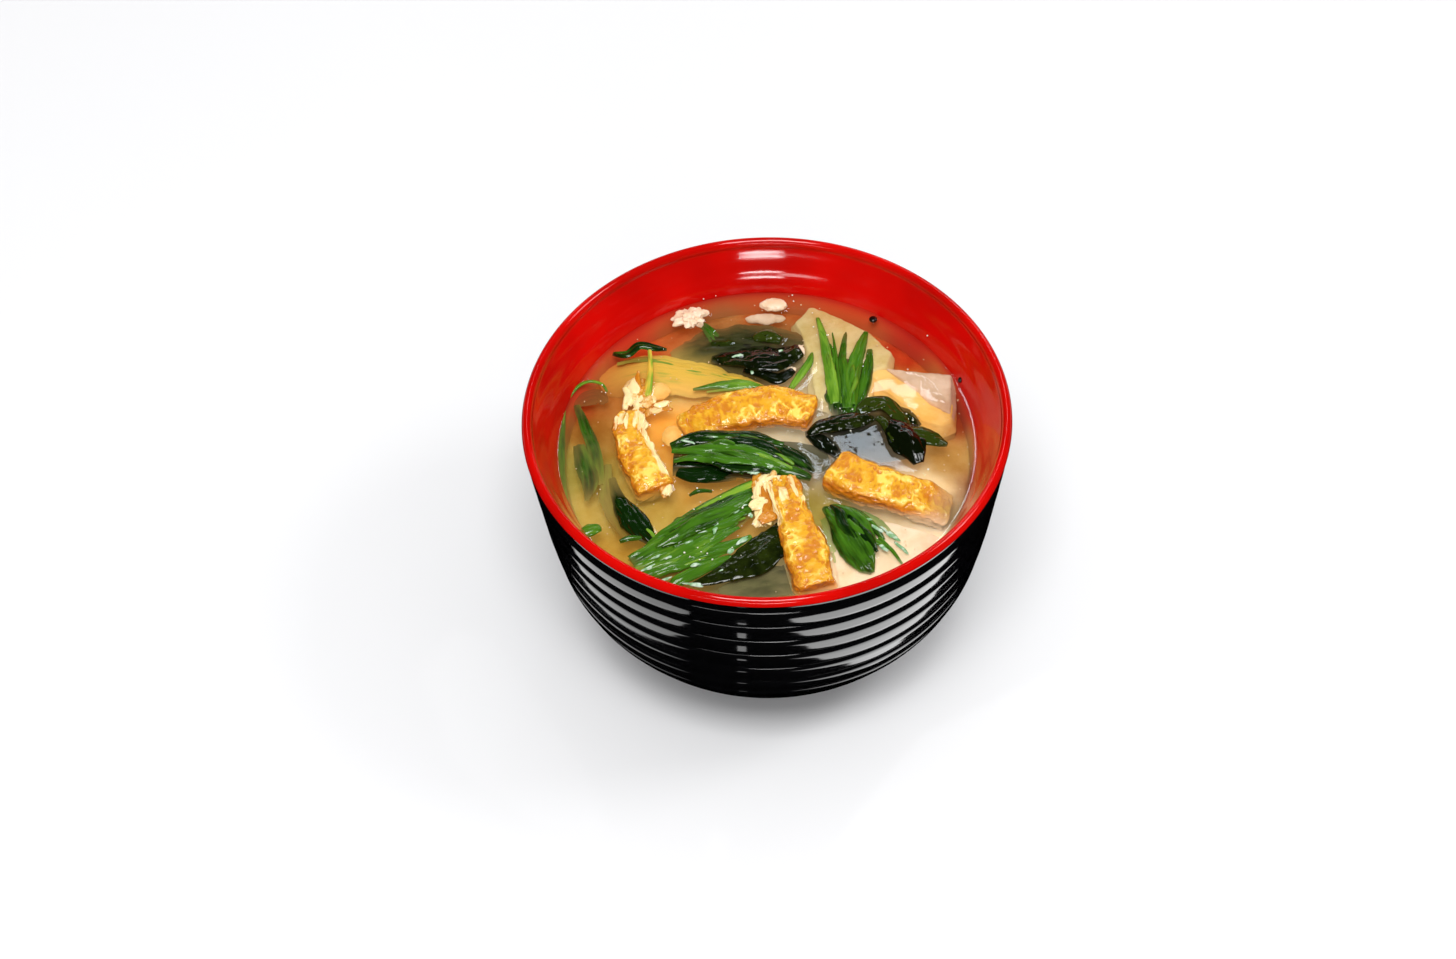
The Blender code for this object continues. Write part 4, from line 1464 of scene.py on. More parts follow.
        Blade(((-14.6, 18.8, -1), (-8, 19.4, -0.5), (-2.6, 19.2, -0.4), (0, 18.4, -0.8)),
              (0.3, 0.9, 0.9, 0.3), 0.66, 0.2),
        Blade(((-16.6, 43.6, -1.6), (-14, 40.4, -0.6), (-12.2, 37, -0.6), (-10.2, 33.6, -1.4)),
              (0.7, 1.3, 1.9, 1.6), 0.34, 0.3),
    )),
)

SEAWEED = (
    Bunch("wakame_leaf_back", (
        Weed(((-23, 31.6, -3.2), (-14, 33.6, -2.5), (-3, 34, -2.3), (10.4, 33, -2.7)), (3, 7.4, 8.4, 6),
             0.36, 1.9, (0, 0), 0.4),
        Weed(((-17, 30.6, -1.9), (-9, 31.2, -1.4), (1, 30.6, -1.3), (9.8, 31.4, -1.6)),
             (2.4, 5.4, 6.8, 4.6), 0.14, 0.8, (0, 0), 0.3),
        Weed(((-13, 29.6, -0.8), (-5, 28.2, 0.5), (2.6, 27.4, 1), (9.2, 30.8, 0.4)), (1.2, 3.2, 5, 2.6),
             0.08, 0.7, (0, 14), 0.7),
        Weed(((-5, 24.8, -0.3), (0, 22.6, 0.2), (4, 21.4, 0.2), (7.4, 24, -0.3)), (0.7, 1.5, 2.2, 1.2),
             0.02, 0.6, (0, 10), 0.5),
        Weed(((-2, 35.6, -0.6), (1.6, 36.4, 0.1), (5, 34.8, -0.4)), (1, 2.4, 1.4), 0.5, 0.9, (0, 0), 0.6),
    ), ("wakame_back",), "wakame"),
    Bunch("wakame_leaf_right", (
        Weed(((9.6, 3.2, -0.8), (15, 3.4, -0.75), (22, 1.8, -0.8), (29, 0.4, -0.8), (36.6, -1.4, -0.8)),
             (0.9, 3.2, 5.6, 7.2, 4.8), -0.05, 0.2, (0, 0), 0.15, 0, 0.6, 0, 0.1),
        Weed(((12.6, 4.4, -0.8), (19, 6.6, -0.6), (26, 8.2, -0.5), (33, 6.8, -0.5), (37.4, 3.4, -0.8)),
             (1, 2.6, 4, 4.2, 2), 0.16, 0.4, (0, 0), 0.4),
        Weed(((10.2, 2.4, -0.3), (13.8, 4.2, 0.3), (18.6, 5.2, 0.3), (23.6, 6.6, 0.1), (27, 7, -0.4)),
             (0.8, 2.3, 2.9, 2.4, 1), 0.14, 0.6, (0, 0), 0.6),
        Weed(((22.6, 9.4, -0.5), (26, 11.2, 0.2), (29.8, 11.4, 0.4), (33, 7.6, 0.2), (35.6, 4, 0.1)),
             (1.2, 2.3, 2.6, 2.2, 1), 0.42, 0.6, (0, 10), 0.6),
        Weed(((31, 5.4, 0), (33.4, 1.6, 0.7), (35.6, -3, 0.8), (37, -8.2, -0.3)), (1.8, 4.2, 4.2, 1.2),
             -0.2, 0.8, (0, -10), 0.7),
        Weed(((35.6, 1.8, 0.2), (38.8, 0.2, 0.5), (42, -1.2, 0.1), (44.6, -2, -0.6)), (2.6, 2.8, 2, 0.6),
             0.46, 0.5, (0, 0), 0.5),
        Weed(((27.6, 7.2, -0.4), (29.8, 4.8, 0.1), (31, 1.2, 0.1), (31.4, -2.8, -0.5)),
             (0.8, 1.5, 1.5, 0.8), 0.34, 0.5, (0, 0), 0.6),
        Weed(((10.2, 2.6, -0.3), (12.8, 0.6, -0.3), (15.4, -1.8, -0.4), (18, -5.4, -0.8)),
             (0.9, 2.2, 2.2, 0.8), -0.1, 0.3, (0, 0), 0.3),
    ), ("wakame_right",), "wakame"),
    Bunch("wakame_leaf_front", (
        Weed(((-19.4, -43.2, -0.5), (-12, -41, 0.1), (-5, -37, 0.2), (0.6, -31, 0.3), (2, -25.8, 0.3)),
              (0.7, 2.6, 5, 4.2, 0.6), 0.18, 0.4, (0, 0), 0.5, 0, 0.6),
        Weed(((-13, -45, -1.8), (-5, -43.6, -1.4), (3.4, -42, -1.4)), (1.6, 4.2, 4.6), 0.24, 0.3, (0, 0),
             0.4),
    ), ("wakame_front",), "wakame"),
)


@dataclass(frozen=True)
class FriedStrip:
    """A strip cut from a fried tofu sheet.

    Attributes:
        node: the CAD node that it stands for.
        spine: points along its middle, in millimetres from the axis and the soup's level.
        half_width: half its width.
        half_height: half its height.
        torn_side: where round the section its flesh shows, in turns from the right side.
        torn_span: the stretch of its length that is torn, 0 to 1.
        streaked_span: the stretch whose upper skin is split by streaks of flesh.
        narrowing: how wide its start is, as a share of its end.
        power: of the superellipse that is its section.
        rows, columns: how many points its mesh has along it and round it.
    """

    node: str
    spine: Sequence[Sequence[float]]
    half_width: float
    half_height: float
    torn_side: float = 0.0
    torn_span: tuple[float, float] = (2.0, 3.0)
    streaked_span: tuple[float, float] = (2.0, 3.0)
    narrowing: float = 1.0
    power: float = 3.4
    rows: int = 230
    columns: int = 150

    def build(self, finish: bpy.types.Material, seed: int) -> tuple[bpy.types.Object, Array]:
        """Makes the strip.

        Its section is a superellipse. The skin is pushed out along ridges that
        enclose pits, where the two nearest random seeds are nearly as far.

        Args:
            finish: its material.
            seed: which noise.

        Returns:
            The piece, and the points where it breaks the surface.
        """
        t = np.linspace(0.0, 1.0, self.rows)
        t = t - 0.012 * np.sin(2 * math.pi * t)
        turn = np.linspace(0.0, 2 * math.pi, self.columns, endpoint=False)
        across = np.sign(np.cos(turn)) * np.abs(np.cos(turn)) ** (2 / self.power)
        up = np.sign(np.sin(turn)) * np.abs(np.sin(turn)) ** (2 / self.power)
        spine = through(in_soup(self.spine), t)
        bulges = soft_noise(np.stack([t * 9, t * 0, t * 0 + seed], axis=-1), 1.7, seed, 2)
        swell = 1.0 + 0.09 * bulges
        ends = (1.0 - np.abs(2 * t - 1) ** 22).clip(0.0) ** 0.5 * 0.4 + 0.6
        narrow = self.narrowing + (1 - self.narrowing) * t**0.7
        width = (self.half_width * MM * swell * ends * narrow)[:, None]
        height = (self.half_height * MM * (0.6 * swell + 0.4) * ends)[:, None]
        sag = 1.0 - 0.10 * (1 - across**2) * (up > 0)
        points = carried(spine, across * width, up * height * sag, np.zeros(self.rows))
        lumps = 0.6 * MM * soft_noise(points, 5.0 * MM, seed, 2)
        normals = grid_normals(points, wrap=True)
        skin = smooth(up, 0.45, 0.9) + smooth(-up, 0.45, 0.9)
        skin = np.broadcast_to(skin, points.shape[:2]) * smooth(np.minimum(t, 1 - t), 0.0, 0.03)[:, None]
        shifts = [soft_noise(points, 2 * MM, seed + k, 1) for k in (1, 2, 3)]
        warped = points + 0.9 * MM * np.stack(shifts, axis=-1)
        near, beyond = nearest_seed(warped, 3.4 * MM, seed + 5)
        shown = smooth(soft_noise(points, 4.5 * MM, seed + 7, 2), -0.15, 0.45)
        ring = (1.0 - smooth(beyond, 0.0, 0.26)) * shown
        dome = smooth(-near, -0.62, -0.1) * (0.4 + 0.6 * shown)
        patches = smooth(soft_noise(points, 2.4 * MM, seed + 8, 3), -0.5, 0.5)
        wrinkles = np.abs(soft_noise(points, 1.3 * MM, seed + 9, 3))
        layers = soft_noise(points * (1, 1, 3.0), 1.6 * MM, seed + 12, 3)
        torn = smooth(np.cos(turn - 2 * math.pi * self.torn_side), 0.15, 0.75)
        torn = torn * within(t, self.torn_span, 0.05)[:, None]
        streaked = within(t, self.streaked_span, 0.08)[:, None]
        lengthwise = np.stack(np.broadcast_arrays(t[:, None] * 6, across * 4.2, 0.0), axis=-1)
        streaks = smooth(soft_noise(lengthwise, 1.1, seed + 30, 2), -0.35, 0.1)
        torn = np.maximum(torn, streaked * streaks * smooth(up, 0.2, 0.8))
        unrolled = np.stack(np.broadcast_arrays(t[:, None] * 9, turn * 7, 0.0), axis=-1)
        fibres = soft_noise(unrolled, 1.0, seed + 20, 2)
        blisters = 0.45 * patches + 0.8 * ring + 0.16 * dome + 0.5 * (0.5 - wrinkles)
        relief = skin * blisters + (1 - skin) * (0.45 + 0.4 * layers)
        push = skin * (0.26 * ring + 0.34 * dome - 0.4 * wrinkles) + (1 - skin) * 0.30 * layers
        push = push * (1 - torn) + torn * (0.9 * fibres - 0.5)
        points = points + normals * (push * MM + lumps)[..., None]
        facts = {"relief": relief, "skin": skin, "torn": torn * (0.8 + 0.5 * fibres)}
        mesher = Mesher()
        mesher.grid(points, wrap=True, closed=True, facts=facts)
        return mesher.garnish(self.node + "_strip", finish, (self.node,))


FRIED_STRIPS = (
    FriedStrip("fried_tofu_left", ((-33.4, 12.5, -2), (-33.8, 4.5, -1.1), (-31.8, -3.6, -0.9),
                                   (-27.6, -13.6, -1.5)),
               4.9, 3.2, 0.5, (0, 0.9), (-0.2, 0.48), 0.66),
    FriedStrip("fried_tofu_back", ((-20.4, 6.2, -3.2), (-12.6, 10, -1.3), (-3, 11.8, -0.1),
                                   (5.4, 11.3, 0.2), (12.2, 9.3, 0.1)),
               5.4, 3),
    FriedStrip("fried_tofu_right", ((15.4, -9.4, 0.1), (24.4, -14.2, 0), (33.2, -17.2, -1.3),
                                    (43.6, -20.6, -5)),
               5.6, 3.2),
    FriedStrip("fried_tofu_front", ((2.4, -12.6, 0.5), (4.6, -22, 0.5), (7.4, -33, 0.2), (10.3, -46.2, -0.7)),
               4.9, 3.2, 0, (0, 0.5), (-0.2, 0.34)),
)


@dataclass(frozen=True)
class Shreds:
    """Torn flakes of fried tofu flesh, strewn inside an ellipse. Sizes in millimetres."""

    name: str
    centre: tuple[float, float, float]
    reach: tuple[float, float]
    heading: float
    count: int
    length: float = 4.5
    nodes: Sequence[str] = ()
    lift: tuple[float, float] = (-1.3, 0.6)
    half_widths: tuple[float, float] = (0.4, 1.3)

    def build(self, finish: bpy.types.Material, seed: int) -> tuple[bpy.types.Object, Array]:
        """Makes the flakes: short bent blades that lie across each other.

        Args:
            finish: their material.
            seed: which random set.

        Returns:
            The piece, and the points where it breaks the surface.
        """
        random = np.random.default_rng(seed)
        mesher = Mesher()
        for index in range(self.count):
            turn, far = random.uniform(0, 2 * math.pi), math.sqrt(random.uniform(0, 1))
            aside = (self.reach[0] * far * math.cos(turn), self.reach[1] * far * math.sin(turn))
            middle = np.array(self.centre) + (*aside, random.uniform(*self.lift))
            angle = math.radians(self.heading) + random.normal(0, 0.34)
            half = self.length * random.uniform(0.35, 0.75)
            ahead = np.array([math.cos(angle), math.sin(angle), random.uniform(-0.14, 0.14)]) * half
            bend = np.array([-ahead[1], ahead[0], random.uniform(-0.2, 0.6)]) * random.uniform(-0.2, 0.2)
            spine = np.stack([middle - ahead, middle + bend, middle + ahead])
            widths = random.uniform(*self.half_widths) * np.array([0.5, 1.0, 0.4])
            roll = (random.uniform(-18, 18), random.uniform(-18, 18))
            blade = Blade(spine, widths, 0.5, 0.3, roll, 0.3, 0.0, 0.5)
            blade.add_to(mesher, seed + index, 0.3)
        facts = mesher.facts
        torn = [np.full(len(values), 0.28 + 0.66 * random.uniform()) for values in facts["tone"]]
        facts["torn"], facts["relief"], facts["skin"] = torn, torn, torn
        return mesher.garnish(self.name, finish, self.nodes)


SHREDS = (
    Shreds("fried_tofu_shreds_left", (-31.8, 16.8, -0.2), (3.2, 6.6), 84, 22, 5.4, ("tofu_shreds_left",),
           (-0.9, 0.3), (0.8, 1.9)),
    Shreds("fried_tofu_shreds_right_of_left", (-27.6, 13.2, -0.4), (2.6, 2.2), 16, 7, 4.6, (), (-0.8, 0.2),
           (0.8, 1.6)),
    Shreds("fried_tofu_flap_front", (-1.2, -18.8, 0.4), (2.3, 6.2), 74, 26, 6.8, (), (-0.6, 1.1), (0.8, 2)),
    Shreds("fried_tofu_chip_left", (-25.2, -14.6, -0.2), (0.8, 1.2), 66, 4, 3.2, (), (-0.5, 0.3), (0.8, 1.3)),
)


@dataclass(frozen=True)
class Slab:
    """A block of tofu between an upper outline and a wider or narrower lower one.

    Attributes:
        name: the piece's name.
        top: the upper outline as (x, y), in millimetres, and its height.
        skirt: the lower outline and its height.
        nodes: the CAD nodes that it stands for.
        tilt: how far it rises for each millimetre to the right and to the back.
        flesh: its finish.
    """

    name: str
    top: Sequence[Sequence[float]]
    top_height: float
    skirt: Sequence[Sequence[float]]
    skirt_height: float
    nodes: Sequence[str] = ()
    tilt: tuple[float, float] = (0.0, 0.0)
    flesh: Flesh = Flesh.FRESH

    @staticmethod
    def reach(outline: Sequence[Sequence[float]], centre: Array, turn: Array) -> Array:
        """How far the outline is from a centre inside it, in each direction.

        Each edge is met where the ray from the centre crosses its line, and the nearest
        meeting in front counts. The corners are then rounded by a short average.

        Args:
            outline: the corners.
            centre: the point inside.
            turn: the directions, in radians.

        Returns:
            The distances.
        """
        start = np.array(outline, float) - centre
        edge = np.roll(start, -1, axis=0) - start
        ray = np.stack([np.cos(turn), np.sin(turn)], axis=-1)
        cross = ray[:, None, 0] * edge[None, :, 1] - ray[:, None, 1] * edge[None, :, 0]
        cross = np.where(np.abs(cross) < 1e-9, 1e-9, cross)
        far = (start[:, 0] * edge[:, 1] - start[:, 1] * edge[:, 0]) / cross
        along = (start[None, :, 0] * ray[:, None, 1] - start[None, :, 1] * ray[:, None, 0]) / cross
        far = np.where((far > 0) & (along >= -1e-6) & (along <= 1 + 1e-6), far, 1e9).min(axis=1)
        for _ in range(3):
            far = (np.roll(far, 1) + 2 * far + np.roll(far, -1)) / 4
        return far

    def build(self, finish: bpy.types.Material, seed: int) -> tuple[bpy.types.Object, Array]:
        """Makes the block.

        Args:
            finish: its material.
            seed: which noise.

        Returns:
            The piece, and the points where it breaks the surface.
        """
        turn = np.linspace(0.0, 2 * math.pi, 260, endpoint=False)
        centre = np.array(self.top, float).mean(axis=0)
        top, skirt = self.reach(self.top, centre, turn), self.reach(self.skirt, centre, turn)
        rim = 0.9
        under_rim = self.top_height - rim
        fall = self.skirt_height - under_rim
        rounding = np.linspace(0.0, math.pi / 2, 9)[1:]
        rows = [(share * np.maximum(top - rim, 0.2), self.top_height) for share in np.linspace(0, 1, 50)[1:]]
        rows += [(top - rim + rim * math.sin(a), self.top_height - rim * (1 - math.cos(a))) for a in rounding]
        rows += [(top + (skirt - top) * s, under_rim + fall * s) for s in np.linspace(0, 1, 26)[1:]]
        rows += [(skirt * 0.99, self.skirt_height - s) for s in np.linspace(0.3, 6.0, 14)]
        radius = np.stack([row[0] for row in rows])
        height = np.array([row[1] for row in rows])[:, None] + 0 * radius
        x, y = centre[0] + radius * np.cos(turn), centre[1] + radius * np.sin(turn)
        points = np.stack([x, y, height], axis=-1)
        offset = points[..., :2] - centre
        points[..., 2] += offset @ np.array(self.tilt)
        points = in_soup(points)
        push = 0.32 * soft_noise(points, 5 * MM, seed, 3) + 0.10 * soft_noise(points, 1.2 * MM, seed + 3, 2)
        points = points + grid_normals(points, wrap=True) * (push * MM)[..., None]
        mesher = Mesher()
        mesher.grid(points[::-1], wrap=True, closed=True)
        return mesher.garnish(self.name, finish, self.nodes)


SLABS = (
    Slab("tofu_slab_back_right",
         ((12.8, 47.6), (18.8, 43.8), (27.1, 37.8), (33, 29.6), (31.4, 24.6), (27.8, 22.8), (26.4, 15),
          (22, 9.4), (12.6, 14.6), (11.8, 27.6), (10, 38), (8.4, 41.4)),
         -0.55,
         ((12.8, 48.4), (19.8, 44.8), (28.1, 38.8), (34, 29.6), (32.4, 23.6), (28.2, 22), (26.8, 14),
          (22, 8.4), (11.6, 13.6), (10.8, 27.6), (9, 38), (7.4, 42)),
         -3.2, ("tofu_back_right",), (0, -0.012), Flesh.SOAKED),
    Slab("tofu_slab_right",
         ((29.9, 24.3), (47.4, 20.6), (46.9, 13), (46.2, 7.6), (41.6, 11.4), (38.8, 15.6), (34.9, 20)),
         -0.1,
         ((28.6, 25), (48.4, 21.4), (48, 13), (47, 6.6), (41, 9.8), (37.6, 14.4), (33.4, 18.8)),
         -2.6, ("tofu_right",), (0.03, 0.04), Flesh.PLAIN),
    Slab("tofu_slab_right_sunk",
         ((26.2, 24.4), (33, 24), (47, 12), (46.4, 5.8), (43.3, 4.3), (38.8, 6.4), (34.9, 11.4),
          (29.7, 17.4)),
         -0.75,
         ((25.2, 25), (33, 24.6), (48, 12), (47.4, 4.8), (43.3, 2.9), (37.8, 5.4), (33.9, 10.4),
          (28.7, 16.4)),
         -4.2, flesh=Flesh.GOLDEN),
    Slab("tofu_slab_front_sunk",
         ((19.6, -23.4), (28.9, -25.6), (36.1, -28.4), (41, -31), (37, -36.4), (29.6, -42.2), (19.9, -45),
          (15.2, -44.6), (14.4, -31)),
         -1.1,
         ((18.6, -22.2), (28.9, -24.6), (36.6, -27.4), (42, -31), (38, -37.4), (30.6, -42.6), (19.9, -46.2),
          (14.2, -45.6), (13.4, -31)),
         -3.4),
)


@dataclass(frozen=True)
class Lump:
    """A rounded scrap: a ball of its own half sizes, pushed in and out by noise.

    Attributes:
        name: the piece's name.
        centre: its middle, in millimetres from the axis and the soup's level.
        half_sizes: along x, y and z, in millimetres.
        rough: how far the noise pushes, as a share of its size.
        grain: how wide the noise's bumps are, in millimetres.
        nodes: the CAD nodes that it stands for.
        flesh: its finish.
    """

    name: str
    centre: tuple[float, float, float]
    half_sizes: tuple[float, float, float]
    rough: float = 0.25
    grain: float = 2.0
    nodes: Sequence[str] = ()
    flesh: Flesh = Flesh.FRESH

    def build(self, finish: bpy.types.Material, seed: int) -> tuple[bpy.types.Object, Array]:
        """Makes the scrap.

        Args:
            finish: its material.
            seed: which noise.

        Returns:
            The piece, and the points where it breaks the surface.
        """
        fall = np.linspace(0.0, math.pi, 72)[1:-1, None]
        turn = np.linspace(0.0, 2 * math.pi, 120, endpoint=False)
        across = np.sin(fall)
        ball = np.stack([across * np.cos(turn), across * np.sin(turn), np.cos(fall) + 0 * turn], axis=-1)
        sized = ball * self.half_sizes
        push = 1.0 + self.rough * soft_noise(sized, self.grain, seed, 3)
        push += 0.5 * self.rough * (0.45 - nearest_seed(sized, self.grain * 0.7, seed + 4)[0])
        points = in_soup(sized * push[..., None] + self.centre)
        mesher = Mesher()
        mesher.grid(points, wrap=True, closed=True)
        return mesher.garnish(self.name, finish, self.nodes)


LUMPS = (
    Lump("tofu_scrap_left", (-17.6, 43.6, 0.3), (3.7, 3, 1.5), 0.5, 1.7, ("tofu_crumb_left",)),
    Lump("tofu_scrap_back", (3.2, 46.9, 0.4), (3.3, 2.2, 1.1), 0.25, 2.4, ("tofu_crumb_back",)),
    Lump("tofu_scrap_back_low", (1.2, 43.8, -1.5), (4.2, 1.6, 0.9), 0.25, 2.4),
    Lump("tofu_grain_left", (-23.6, 4.6, -1.3), (2.9, 3.4, 1), 0.15, 2.4, flesh=Flesh.GOLDEN),
    Lump("tofu_grain_back_left", (-26.4, 19.8, -1.3), (2.8, 2.8, 1.1), 0.15, 2, flesh=Flesh.GOLDEN),
    Lump("tofu_grain_back", (9.6, 30.4, 0.1), (0.9, 2.2, 0.8), 0.5, 1.2),
    Lump("tofu_grain_mid", (7, 24.4, 0.2), (1.5, 0.7, 0.6), 0.4, 1.2),
)


@dataclass
class Flecks:
    """Tiny grains: each a small flattened ball, all joined in one piece.

    Attributes:
        name: the piece's name.
        centres: their middles, in metres.
        sizes: the smallest and largest radius, in millimetres.
        flat: height over width.
        seed: which random sizes and headings.
        rings: how many rings of points each one has.
    """

    name: str
    centres: Array
    sizes: tuple[float, float]
    flat: float
    seed: int
    rings: int = 4

    def build(self, finish: bpy.types.Material, slot: str) -> bpy.types.Object:
        """Makes the grains.

        Args:
            finish: their material.
            slot: not used.

        Returns:
            The piece.
        """
        random = np.random.default_rng(self.seed)
        mesher = Mesher()
        for centre in self.centres:
            size = np.array([1.0, random.uniform(0.6, 1.0), self.flat]) * random.uniform(*self.sizes) * MM
            ball = flat_ball(centre, size, random.uniform(0, 360), rings=self.rings)
            mesher.grid(ball, wrap=True, closed=True)
        return mesher.garnish(self.name, finish)[0]


def flat_ball(
    centre: Array, half_sizes: Array, heading: float, rough: float = 0.0, seed: int = 0, rings: int = 9
) -> Array:
    """A ball with three half sizes, turned about the vertical, whose outline is ragged.

    Args:
        centre: its middle, in metres.
        half_sizes: along its heading, across it and upwards, in metres.
        heading: in degrees from +X.
        rough: how far the outline wanders, as a share of the radius.
        seed: which noise.
        rings: how many rings of points lie between its poles.

    Returns:
        A grid that wraps, whose first and last rows are to be closed.
    """
    fall = np.linspace(0.0, math.pi, rings + 2)[1:-1, None]
    turn = np.linspace(0.0, 2 * math.pi, 24 if rings > 4 else 9, endpoint=False)
    ring = np.stack([np.cos(turn), np.sin(turn), np.zeros_like(turn)], axis=-1)
    wander = 1.0 + rough * soft_noise(ring + seed * 3.7, 0.7, seed, 2)
    across = np.sin(fall) * wander
    ball = np.stack([across * np.cos(turn), across * np.sin(turn), np.cos(fall) + 0 * turn], axis=-1)
    return ball * half_sizes @ np.array(Matrix.Rotation(-math.radians(heading), 3, "Z")) + centre


@dataclass(frozen=True)
class PaintedGlints:
    """Thin pools that lie on the leaves, with the window's reflection painted into their colour; their gloss
    catches real light too.

    Attributes:
        name: the piece's name.
        spots: (x, y, height over the soup, half length, half width, heading in degrees).
        thickness: half the thickness of a pool, in millimetres.
        ragged: how far a pool's outline wanders, as a share of its size.
    """

    name: str
    spots: Sequence[Sequence[float]]
    thickness: float = 0.22
    ragged: float = 0.55

    def build(self, finish: bpy.types.Material, seed: int) -> bpy.types.Object:
        """Makes the pools as one piece."""
        mesher = Mesher()
        for index, (x, y, z, long, wide, heading) in enumerate(self.spots):
            sizes = np.array([long, wide, self.thickness]) * MM
            pool = flat_ball(in_soup([(x, y, z)])[0], sizes, heading, self.ragged, seed + index)
            mesher.grid(pool, wrap=True, closed=True)
        return mesher.garnish(self.name, finish)[0]


# Painted highlights: pale blots where the leaves and weed mirror the window.
PAINTED_GLINTS = (
    PaintedGlints("painted_glints_front_left", (
        (-7.8, -21.3, 1.7, 2.2, 0.9, 8), (-8.8, -23, 1.6, 1.4, 0.4, 20), (-14.6, -26.4, 1.9, 1.6, 0.8, 40),
        (-13.4, -27.8, 1.8, 1.6, 0.6, 70), (-19.2, -31.4, 1.6, 1.9, 0.4, 30), (-22, -31.2, 1.5, 0.8, 0.4, 60),
        (-24.7, -35.7, 1.2, 1, 0.4, 40), (-18.5, -38.7, 1.4, 1.1, 0.5, 10), (-10.1, -34.8, 1.4, 1, 0.6, 50),
        (-6.9, -31.4, 1.3, 2.2, 0.7, 48), (-29.2, -38.2, 0.6, 1.9, 0.5, 24), (-25.7, -42, 0.6, 1.3, 0.4, 20),
        (-3, -32.4, 0.9, 0.7, 0.4, 0), (-4.9, -23.7, 1.2, 0.6, 0.7, 0), (-3.6, -11.4, 2.3, 1.4, 0.45, 0),
        (-16.4, -29, 1.8, 1.2, 0.3, 20), (-27.6, -35.4, 1, 0.9, 0.3, 30),
        (-11.4, -39.8, 0.6, 2.2, 0.7, 35), (-8.8, -38.4, 0.8, 1.2, 0.4, 35), (-19.2, -43.6, 0.3, 2.2, 0.7,
                                                                              -8),
    )),
    PaintedGlints("painted_glints_centre", (
        (-19.6, 0.4, 1.4, 1.7, 0.35, -20), (-9, -5, 2.6, 2.6, 0.35, -18), (-1.6, -8.6, 2.4, 1.8, 0.6, -25),
        (2.2, -9.6, 1.8, 1, 0.3, -20), (-17.4, -4.9, 1.5, 2, 0.25, 4), (-12.4, 1.2, 1.9, 2.2, 0.3, -6),
        (-6.2, -9.2, 1.6, 1.6, 0.3, -30),
    )),
    PaintedGlints("painted_glints_front_right", (
        (22.6, -26.8, 1.6, 1.6, 0.5, 0), (19.6, -28.6, 1.5, 0.9, 1.4, 10), (25.4, -29.4, 1.3, 1.8, 0.5, -40),
        (22.6, -35.8, 0.8, 2, 0.7, -55), (26.6, -34.8, 0.5, 1.5, 0.5, -50), (16.4, -24.2, 1.3, 0.9, 0.3, -60),
        (28.6, -30.6, 0.1, 3, 0.7, -52), (31.4, -35.2, -0.1, 2.6, 0.5, -52),
    )),
    PaintedGlints("painted_glints_back", (
        (-2.6, 24, 0.9, 0.7, 1.5, -12), (-4, 25.4, 0.7, 0.5, 0.9, 0), (2.6, 27, 1.9, 0.45, 1.3, 6),
        (5.4, 24.6, 1, 0.3, 0.9, 0), (4.6, 29.6, 1.7, 0.5, 0.4, 0), (-6, 29, 1.2, 1.3, 0.4, 20),
    )),
)


def strewn(count: int, seed: int, height: float, centre: Sequence[float] = (0.0, 0.0),
           reach: float = 51.0) -> Array:
    """Points strewn over a disc of the soup, in millimetres, at this height over its level."""
    random = np.random.default_rng(seed)
    turn = random.uniform(0, 2 * math.pi, count)
    far = np.sqrt(random.uniform(0.0, 1.0, count)) * reach
    heights = np.full(count, height) + random.uniform(-0.1, 0.05, count)
    x, y = far * np.cos(turn) + centre[0], far * np.sin(turn) + centre[1]
    return in_soup(np.stack([x, y, heights], axis=-1))


# ---------------------------------------------------------------- the studio


@dataclass(frozen=True)
class Panel:
    """A soft light panel that the camera doesn't see.

    Attributes:
        name: the light's name.
        place: its middle, in millimetres.
        aim: the point that it faces, in millimetres.
        size: its width and height, in millimetres.
        radiance: how bright its face is, where 1 shows as white.
        rounded: whether it is an ellipse.
        colour: the colour of its light.
    """

    name: str
    place: tuple[float, float, float]
    aim: tuple[float, float, float]
    size: tuple[float, float]
    radiance: float
    rounded: bool = False
    colour: Colour = (1.0, 1.0, 1.0)

    def build(self) -> bpy.types.Object:
        """Adds the panel to the scene."""
        data = bpy.data.lights.new(self.name, "AREA")
        data.shape = "ELLIPSE" if self.rounded else "RECTANGLE"
        data.size, data.size_y = (length * MM for length in self.size)
        share = math.pi / 4 if self.rounded else 1.0
        data.energy = self.radiance * math.pi * data.size * data.size_y * share
        data.color = self.colour
        panel = bpy.data.objects.new(self.name, data)
        heading = Vector(self.aim) - Vector(self.place)
        turn = heading.to_track_quat("-Z", "Y").to_matrix().to_4x4()
        panel.matrix_world = Matrix.Translation(Vector(self.place) * MM) @ turn
        panel.visible_camera = False
        bpy.context.scene.collection.objects.link(panel)
        return panel


PANELS = (
    Panel("key_over_front", (-40, -430, 1060), (0, 0, 60), (460, 360), 14.0),
    Panel("fill_right", (700, 40, 780), (0, 0, 60), (260, 260), 9.0),
    Panel("window_over_back", (95, 858, 1050), (0, 0, 59), (66, 68), 14.0, False, (0.80, 0.90, 1.0)),
    Panel("window_pane_left", (47, 850, 1050), (0, 0, 59), (16, 22), 10.0, True, (0.80, 0.90, 1.0)),
    Panel("strip_back", (100, 1150, 480), (0, 0, 60), (1300, 110), 3.5),
    Panel("strip_for_back_wall", (-8, -1000, 281), (0, 0, 65), (360, 42), 28.0, True),
    Panel("strip_for_back_wall_dim", (-330, -930, 330), (0, 0, 65), (420, 50), 9.0, True),
)


